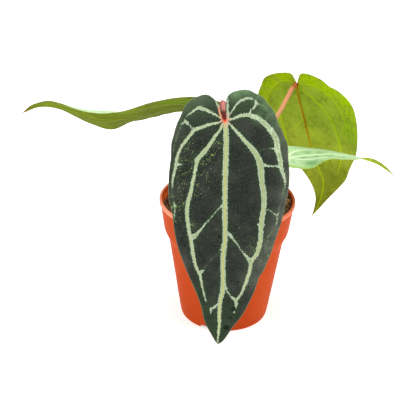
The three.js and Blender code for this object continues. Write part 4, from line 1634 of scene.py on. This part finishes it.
BACK_VEINS = (
    Vein(
        ((0, 0), (18, -0.4), (40, 1), (60, 2.3), (80, 3), (104, 7.3), (113, 10), (124, 10.8), (140, 8.5),
         (157, 5.5)),
        (1.1, 1.0, 0.9, 0.8, 0.8, 0.7, 0.6, 0.4),
        1.1,
    ),
    Vein(((1, 0.5), (5, 3), (13, 11.2), (23, 21.5), (32, 28.2), (44, 32.8), (60, 36.4), (80, 36), (100, 30)),
         (0.8, 0.8, 0.8, 0.8, 0.7, 0.3), 0.6),
    Vein(((1, -0.5), (8, -5), (21, -13.1), (34, -20.1), (46, -23), (64, -22.6), (84, -23.3), (104, -19),
          (120, -12)),
         (0.8, 0.8, 0.8, 0.8, 0.8, 0.6, 0.3), 0.4),
    Vein(((0, 1), (-2, 8), (-2, 18), (4, 29), (16, 38), (34, 45), (54, 46)), (0.6, 0.6, 0.6, 0.4, 0.2), 0.3),
    Vein(((0, -1), (-2, -8), (2, -17), (12, -25), (28, -33), (50, -37), (70, -36)),
          (0.6, 0.6, 0.5, 0.4, 0.2), 0.3),
    Vein(((-1, 1), (-7, 6), (-9, 14), (-5, 22)), (0.5, 0.4, 0.1)),
    Vein(((-1, -1), (-6, -4), (-7, -11), (-3, -20)), (0.5, 0.4, 0.1)),
    Vein(((52, 1.8), (62, 12), (76, 22), (88, 33)), (0.4, 0.3, 0.2)),
    Vein(((74, 2.8), (86, 12), (100, 24)), (0.4, 0.3, 0.1)),
    Vein(((44, 1.2), (56, -9), (66, -18)), (0.4, 0.3, 0.1)),
    Vein(((82, 3.2), (92, -6), (102, -14)), (0.4, 0.3, 0.1)),
)

YOUNG_VEINS = (
    Vein(((0, 1.5), (7, 4.2), (14, 2.2), (24.7, -0.2), (35.5, -1.7), (45.6, -2.6), (62, -1.5), (84, 0),
          (107, 0)),
         (1.3, 1.4, 1.3, 1.2, 1.0, 0.9, 0.6, 0.4), 0.3),
    Vein(((45.6, -2.6), (52, 1.6), (58.7, 5.7), (65.5, 9)), (0.9, 0.9, 0.7, 0.2)),
    Vein(((2, 1), (7, 0), (9.6, -4.4), (13.6, -9.8), (20, -15.3), (28, -20.4)), (0.9, 1.1, 1.2, 1.0, 0.6)),
    Vein(((20, -15.3), (34, -17.7), (41.6, -12.7)), (0.6, 0.5, 0.2)),
    Vein(((2, 3), (7.3, 5.6), (16.8, 8.5), (27, 10.3), (35, 9.5), (40, 11.6), (47, 11), (51.6, 9.5)),
         (0.9, 1.0, 0.9, 0.8, 0.4)),
    Vein(((2, 4), (6.8, 7.3), (7, 12.2), (7.6, 15.5)), (0.7, 0.8, 0.6, 0.2)),
    Vein(((0, 3), (2, 12), (10, 19), (24, 21.5)), (0.7, 0.7, 0.5, 0.2)),
    Vein(((-1, -1), (-6, -7), (-5, -13)), (0.7, 0.5, 0.2)),
    Vein(((-1, 1), (-6, 7), (-5, 13)), (0.7, 0.5, 0.2)),
    Vein(((35.5, -1.7), (44, -8), (54, -14)), (0.5, 0.4, 0.2)),
    Vein(((62, -1.5), (70, -6), (78, -9)), (0.4, 0.3, 0.2)),
)


def stretched(veins: tuple[Vein, ...], scale: float, thick: float) -> tuple[Vein, ...]:
    """A vein pattern scaled to another leaf, with its veins' widths scaled by thick."""
    made = []
    for vein in veins:
        points = tuple((s * scale, v * scale) for s, v in vein.points)
        made.append(Vein(points, tuple(w * thick for w in vein.widths), vein.core))
    return tuple(made)


def leaves() -> tuple[tuple[Blade, Petiole], ...]:
    """The four leaves with their stalks."""
    front = Blade(
        "front",
        FRONT_FORM,
        FRONT_VEINS,
        Slot.DARK,
        # Painted sheen: greyish light where the margins and the tops of the lobes curve away.
        tone=(
            Patch(38, 52, 9, 0.6), Patch(12, 46, 9, 0.6), Patch(26, -54, 9, 0.75), Patch(44, -54, 8, 0.7),
            Patch(60, -53, 9, 0.85), Patch(76, -50, 8, 0.8), Patch(10, -46, 7, 0.5), Patch(90, -46, 9, 0.85),
            Patch(104, -42, 10, 0.85), Patch(118, -36, 10, 0.75), Patch(132, -29, 10, 0.6),
            Patch(112, -36, 14, 0.3), Patch(62, 49, 7, 0.3), Patch(80, 45, 7, 0.25), Patch(120, 31, 8, 0.3),
        ),
        speckle=(
            Patch(24, 10, 9, 1.4), Patch(30, 16, 8, 1.3), Patch(36, 30, 9, 1.4), Patch(24, 28, 8, 1.0),
            Patch(44, 14, 8, 1.0), Patch(46, 34, 7, 1.2), Patch(56, 18, 8, 0.8), Patch(58, 32, 6, 1.0),
            Patch(62, 19, 4, 1.3), Patch(84, 24, 7, 1.1), Patch(82, 35, 6, 1.1), Patch(71, 38, 8, 1.9),
            Patch(103, -26, 9, 1.0), Patch(98, -40, 8, 1.1), Patch(112, -38, 8, 0.8),
            Patch(90, -8, 14, 0.35),
        ),
        green=(
            Patch(-22.5, -8.5, 6, 0.8), Patch(-25, -16, 6, 0.75), Patch(-20, -26, 6, 0.45),
            Patch(-13, -33, 6, 0.5), Patch(-6, -38, 6, 0.45), Patch(2, -43, 7, 0.4),
            Patch(14.5, -47, 7, 0.3), Patch(-16, 23, 8, 0.2), Patch(-8, 31, 7, 0.15), Patch(2, 38, 7, 0.15),
            Patch(-3, -27, 5, 0.35),
        ),
        pale=(
            Patch(-3.5, -12, 8, 0.5), Patch(-2, -24, 9, 0.8), Patch(8, -37, 9, 0.9), Patch(20, -43, 9, 0.9),
            Patch(34, -46, 8, 0.7), Patch(36, -40, 6, 0.4),
        ),
        verdant=(
            Patch(-11.5, -12, 6, 0.8), Patch(-13, -19, 5, 0.8), Patch(-7.4, -29, 5.5, 0.6),
            Patch(-9, 12, 5, 0.5), Patch(-4, 22, 7, 0.5), Patch(180, 0, 20, 0.95), Patch(160, 13, 12, 0.8),
            Patch(143, 21, 9, 0.6), Patch(163, -9, 11, 0.7),
        ),
        spots=(
            Patch(95, 1.3, 1.7), Patch(104, 29, 1.3), Patch(175, -7, 2.6), Patch(158, -12.5, 2.2),
            Patch(134, -15, 1.1), Patch(166, -10, 1.2), Patch(138, -24, 0.9),
        ),
        traces=FRONT_TRACES,
        quilt=0.9,
        rows=236,
        rings=80,
        blush=(7.0, 13.0),
    )
    left = Blade(
        "left",
        LEFT_FORM,
        stretched(YOUNG_VEINS, LEFT_FORM.length / YOUNG_FORM.length, 0.9),
        Slot.OLIVE,
        # Painted light on the part of this face that is lit.
        lower_painted_light=(
            Patch(20, -25, 26, 0.8), Patch(55, -30, 26, 0.6), Patch(100, -16, 22, 0.3),
            Patch(130, -6, 20, 0.4),
        ),
        # Painted shadow.
        painted_shadow=(Patch(80, 0, 14, 0.4), Patch(70, -6, 12, 0.3)),
    )
    back = Blade(
        "back",
        BACK_FORM,
        BACK_VEINS,
        Slot.OLIVE,
        # Painted light round the lobes, in lime, for light shining through the leaf.
        lower_painted_light=(
            Patch(-10, 14, 12, 1.0), Patch(-4, 30, 13, 1.0), Patch(6, 46, 12, 0.9), Patch(-8, -12, 10, 1.0),
            Patch(4, -28, 13, 0.9), Patch(20, 52, 14, 0.6), Patch(40, 52, 16, 0.5), Patch(18, -38, 14, 0.7),
            Patch(48, -24, 9, 0.35), Patch(60, 36, 9, 0.3),
        ),
        # Painted shadow below the young leaf.
        painted_shadow=(
            Patch(112, 22, 16, 0.75), Patch(126, 14, 13, 0.6), Patch(98, 36, 10, 0.5),
            Patch(140, 8, 10, 0.4),
        ),
    )
    young = Blade(
        "young",
        YOUNG_FORM,
        YOUNG_VEINS,
        Slot.MINT,
        tone=(
            Patch(25, 18, 6, 1.2), Patch(14.5, -3.7, 4, 0.6), Patch(24.4, -8, 6, 0.8), Patch(36, -8, 6, 0.8),
            Patch(20, 4, 4, 0.9), Patch(30, 4.5, 4, 0.9), Patch(42, 3, 5, 0.7), Patch(50, 14, 8, 0.5),
        ),
        green=(
            Patch(5, 22, 3.6, 0.9), Patch(9, 24, 3.6, 0.9), Patch(14, 25.5, 3.6, 0.9),
            Patch(19, 26, 3.6, 0.9), Patch(24, 26, 3.6, 0.9), Patch(29, 25.5, 3.6, 0.9),
            Patch(34, 24, 3.6, 0.8), Patch(39, 23.5, 3.4, 0.6),
        ),
        # Painted light and painted shadow on the lower face.
        lower_painted_light=(Patch(60, 0, 40, 0.5),),
        painted_shadow=(Patch(96, 0, 14, 0.35),),
        quilt=0.25,
        rows=160,
        rings=48,
        tip_share=0.86,
    )
    return (
        (
            front,
            Petiole(
                "front",
                ((-3, -5, 106), (-3.6, -13, 135), (-4.8, -24, 175), (-6, -32, 205), (-6.4, -37, 216),
                 (-6, -42, 218.2), (-5.2, -46.2, 214), (-4.4, -50.2, 208.2)),
                (2.1, 1.95, 1.9, 1.9, 2.1, 2.6, 3.1, 2.7, 1.8),
                across=(1.0, 0.0, 0.0),
            ),
        ),
        (
            left,
            Petiole(
                "left",
                ((-5, 4, 106), (-11, 11, 135), (-19, 18, 163), (-25, 22, 181), (-27.4, 23.8, 190.6)),
            ),
        ),
        (
            back,
            Petiole(
                "back",
                ((3.6, 5, 106), (12, 11, 131), (27, 18, 160), (40.6, 24, 183), (47.4, 29.5, 195),
                 (51.8, 33.6, 203.4), (54.6, 36, 207.2), (57.4, 37.8, 209.2)),
            ),
        ),
        (
            young,
            Petiole(
                "young",
                ((5.5, -1, 106), (11, -1.5, 123), (22, -1.5, 140), (34, -1, 150.5), (44, -0.1, 156.2)),
            ),
        ),
    )


VELVET = VelvetFinish(
    name="velvet_leaf",
    ground=(37, 40, 36),
    deep=(18, 28, 18),
    halo=(38, 60, 34),
    # Greener and lighter: partly painted light from above.
    lobe=(74, 88, 66),
    green=(112, 144, 100),
    # Greyish painted sheen.
    margin=(98, 103, 90),
    band=(140, 160, 122),
    band_edge=(185, 202, 174),
    pale=(194, 212, 174),
    core=(194, 191, 110),
    # Pale green painted rim highlight.
    edge=(140, 162, 118),
    fleck=(128, 156, 88),
    sheen=0.05,
    feather=3.4,
)

MINT = VelvetFinish(
    name="mint_leaf",
    ground=(192, 222, 172),
    deep=(150, 192, 134),
    # Slightly darker than the ground: painted crease shade beside the veins.
    halo=(184, 216, 164),
    lobe=(176, 212, 156),
    green=(156, 208, 92),
    margin=(116, 168, 104),
    band=(226, 242, 206),
    band_edge=(212, 234, 190),
    pale=(232, 246, 212),
    core=(236, 246, 216),
    edge=(204, 190, 84),
    fleck=(150, 200, 140),
    sheen=0.05,
    feather=0.9,
)

MIDDLE_AGED = VelvetFinish(
    name="middle_aged_leaf",
    ground=(62, 92, 52),
    deep=(44, 72, 40),
    halo=(76, 116, 64),
    lobe=(86, 120, 66),
    green=(110, 146, 88),
    margin=(96, 116, 80),
    band=(168, 198, 146),
    band_edge=(186, 212, 160),
    pale=(206, 224, 170),
    core=(180, 194, 110),
    edge=(158, 150, 96),
    fleck=(150, 180, 84),
    sheen=0.1,
    feather=1.6,
)

OLIVE_BACK = UndersideFinish(
    name="olive_underside",
    ground=(160, 184, 54),
    shadow=(138, 160, 44),
    painted_glow=(168, 200, 0),
    vein=(172, 200, 10),
    midrib=(160, 112, 10),
    net=(104, 122, 24),
    edge=(150, 140, 50),
    tip=(150, 140, 50),
)

DULL_BACK = UndersideFinish(
    name="dull_underside",
    ground=(110, 126, 28),
    shadow=(98, 112, 24),
    painted_glow=(126, 154, 6),
    vein=(128, 146, 28),
    midrib=(126, 136, 34),
    net=(88, 102, 26),
    edge=(140, 96, 50),
    tip=(150, 110, 40),
)

PETIOLES = {
    # Its dark end colour is a painted shadow in the hollow above the blade.
    "front": PetioleFinish(
        "petiole_front", (150, 128, 84), (188, 122, 92), (202, 130, 120), (150, 70, 42), (92, 26, 22), 0.96
    ),
    "left": PetioleFinish(
        "petiole_left", (158, 140, 92), (200, 160, 112), (214, 140, 104), (160, 84, 56), (170, 90, 60)
    ),
    "back": PetioleFinish(
        "petiole_back", (170, 150, 104), (224, 176, 122), (226, 152, 108), (190, 112, 70), (180, 92, 36)
    ),
    "young": PetioleFinish(
        "petiole_young", (150, 150, 92), (178, 180, 112), (196, 196, 126), (160, 110, 74), (186, 180, 110)
    ),
}


# Studio


@dataclass(frozen=True)
class Camera:
    """The viewpoint of the photograph."""

    distance: float = 900.0
    look_at: Point3 = (0.0, 0.0, 57.5)
    elevation: float = 29.5
    aim: Point3 = (-16.9, 0.0, 103.8)
    roll: float = 1.4
    lens: float = 85.65
    sensor: float = 36.0

    def build(self) -> None:
        """Places the camera: it stands at elevation above look_at, points at aim and is turned by roll."""
        up = math.radians(self.elevation)
        place = Vector(self.look_at) + self.distance * Vector((0, -math.cos(up), math.sin(up)))
        forward = (Vector(self.aim) - place).normalized()
        level = forward.cross(Vector((0, 0, 1))).normalized()
        over = level.cross(forward)
        c, s = math.cos(math.radians(self.roll)), math.sin(math.radians(self.roll))
        right, top = c * level + s * over, c * over - s * level
        data = bpy.data.cameras.new("camera")
        data.lens, data.sensor_width = self.lens, self.sensor
        data.clip_start, data.clip_end = 0.01, 100.0
        made = shown("camera", data)
        turn = Matrix((right, top, -forward)).transposed().to_4x4()
        made.matrix_world = Matrix.Translation(place * MM) @ turn
        bpy.context.scene.camera = made


@dataclass(frozen=True)
class Softbox:
    """One large soft light: its place and size in metres, and its power in watts."""

    name: str
    place: Point3
    size: float
    power: float
    colour: Point3 = (1.0, 1.0, 1.0)

    def build(self, target: Vector) -> None:
        """Places the light so that it faces the target."""
        data = bpy.data.lights.new(self.name, "AREA")
        data.shape, data.size, data.energy, data.color = "DISK", self.size, self.power, self.colour
        made = shown(self.name, data)
        made.location = self.place
        made.rotation_euler = (target - Vector(self.place)).to_track_quat("-Z", "Y").to_euler()
        made.visible_camera = False


@dataclass(frozen=True)
class Studio:
    """Plain pale floor, even white surroundings and three soft lights."""

    floor_half: float = 7.0
    floor_drop: float = 0.1
    floor_colour: Point3 = (250, 250, 250)
    floor_glow: float = 0.5
    surroundings: float = 0.52
    target: Point3 = (0.0, 0.0, 0.13)
    lights: tuple[Softbox, ...] = (
        Softbox("left", (-1.4, -0.6, 1.2), 0.7, 11.0),
        Softbox("right", (1.3, -0.4, 1.4), 0.7, 11.0),
        Softbox("top", (0.1, 0.0, 1.9), 0.8, 16.0),
    )

    def build(self) -> None:
        """Builds the floor, the surroundings and the lights."""
        half = self.floor_half
        mesh = bpy.data.meshes.new("floor")
        corners = [(-half, -half, 0), (half, -half, 0), (half, half, 0), (-half, half, 0)]
        mesh.from_pydata(corners, [], [(0, 1, 2, 3)])
        mesh.transform(Matrix.Translation((0, 0, -self.floor_drop * MM)))
        p = Paint("floor", 0.9, Specular_IOR_Level=0.1, Emission_Strength=self.floor_glow)
        p.set_shader(Base_Color=shade(*self.floor_colour), Emission_Color=(1, 1, 1, 1))
        mesh.materials.append(p.material)
        floor = shown("floor", mesh)
        world = bpy.data.worlds.new("surroundings")
        world.use_nodes = True
        background = world.node_tree.nodes["Background"]
        background.inputs["Color"].default_value = (1, 1, 1, 1)
        background.inputs["Strength"].default_value = self.surroundings
        bpy.context.scene.world = world
        for light in self.lights:
            light.build(Vector(self.target))
        bpy.context.scene.view_settings.view_transform = "Standard"


def main() -> None:
    """Builds the plant in its pot, then the studio and camera."""
    logging.basicConfig(level=logging.INFO, format="%(name)s %(message)s")
    Camera().build()
    pot = Pot()
    pot.build(PotFinish())
    PottingMix().build(pot)
    Crown().build()
    velvet, mint, middle = VELVET.material(), MINT.material(), MIDDLE_AGED.material()
    olive, dull = OLIVE_BACK.material(), DULL_BACK.material()
    faces = {"front": (velvet, dull), "left": (mint, dull), "back": (middle, olive), "young": (mint, olive)}
    for blade, petiole in leaves():
        blade.build(*faces[blade.name])
        petiole.build(PETIOLES[petiole.name].material())
    Studio().build()


if __name__ == "__main__":
    main()
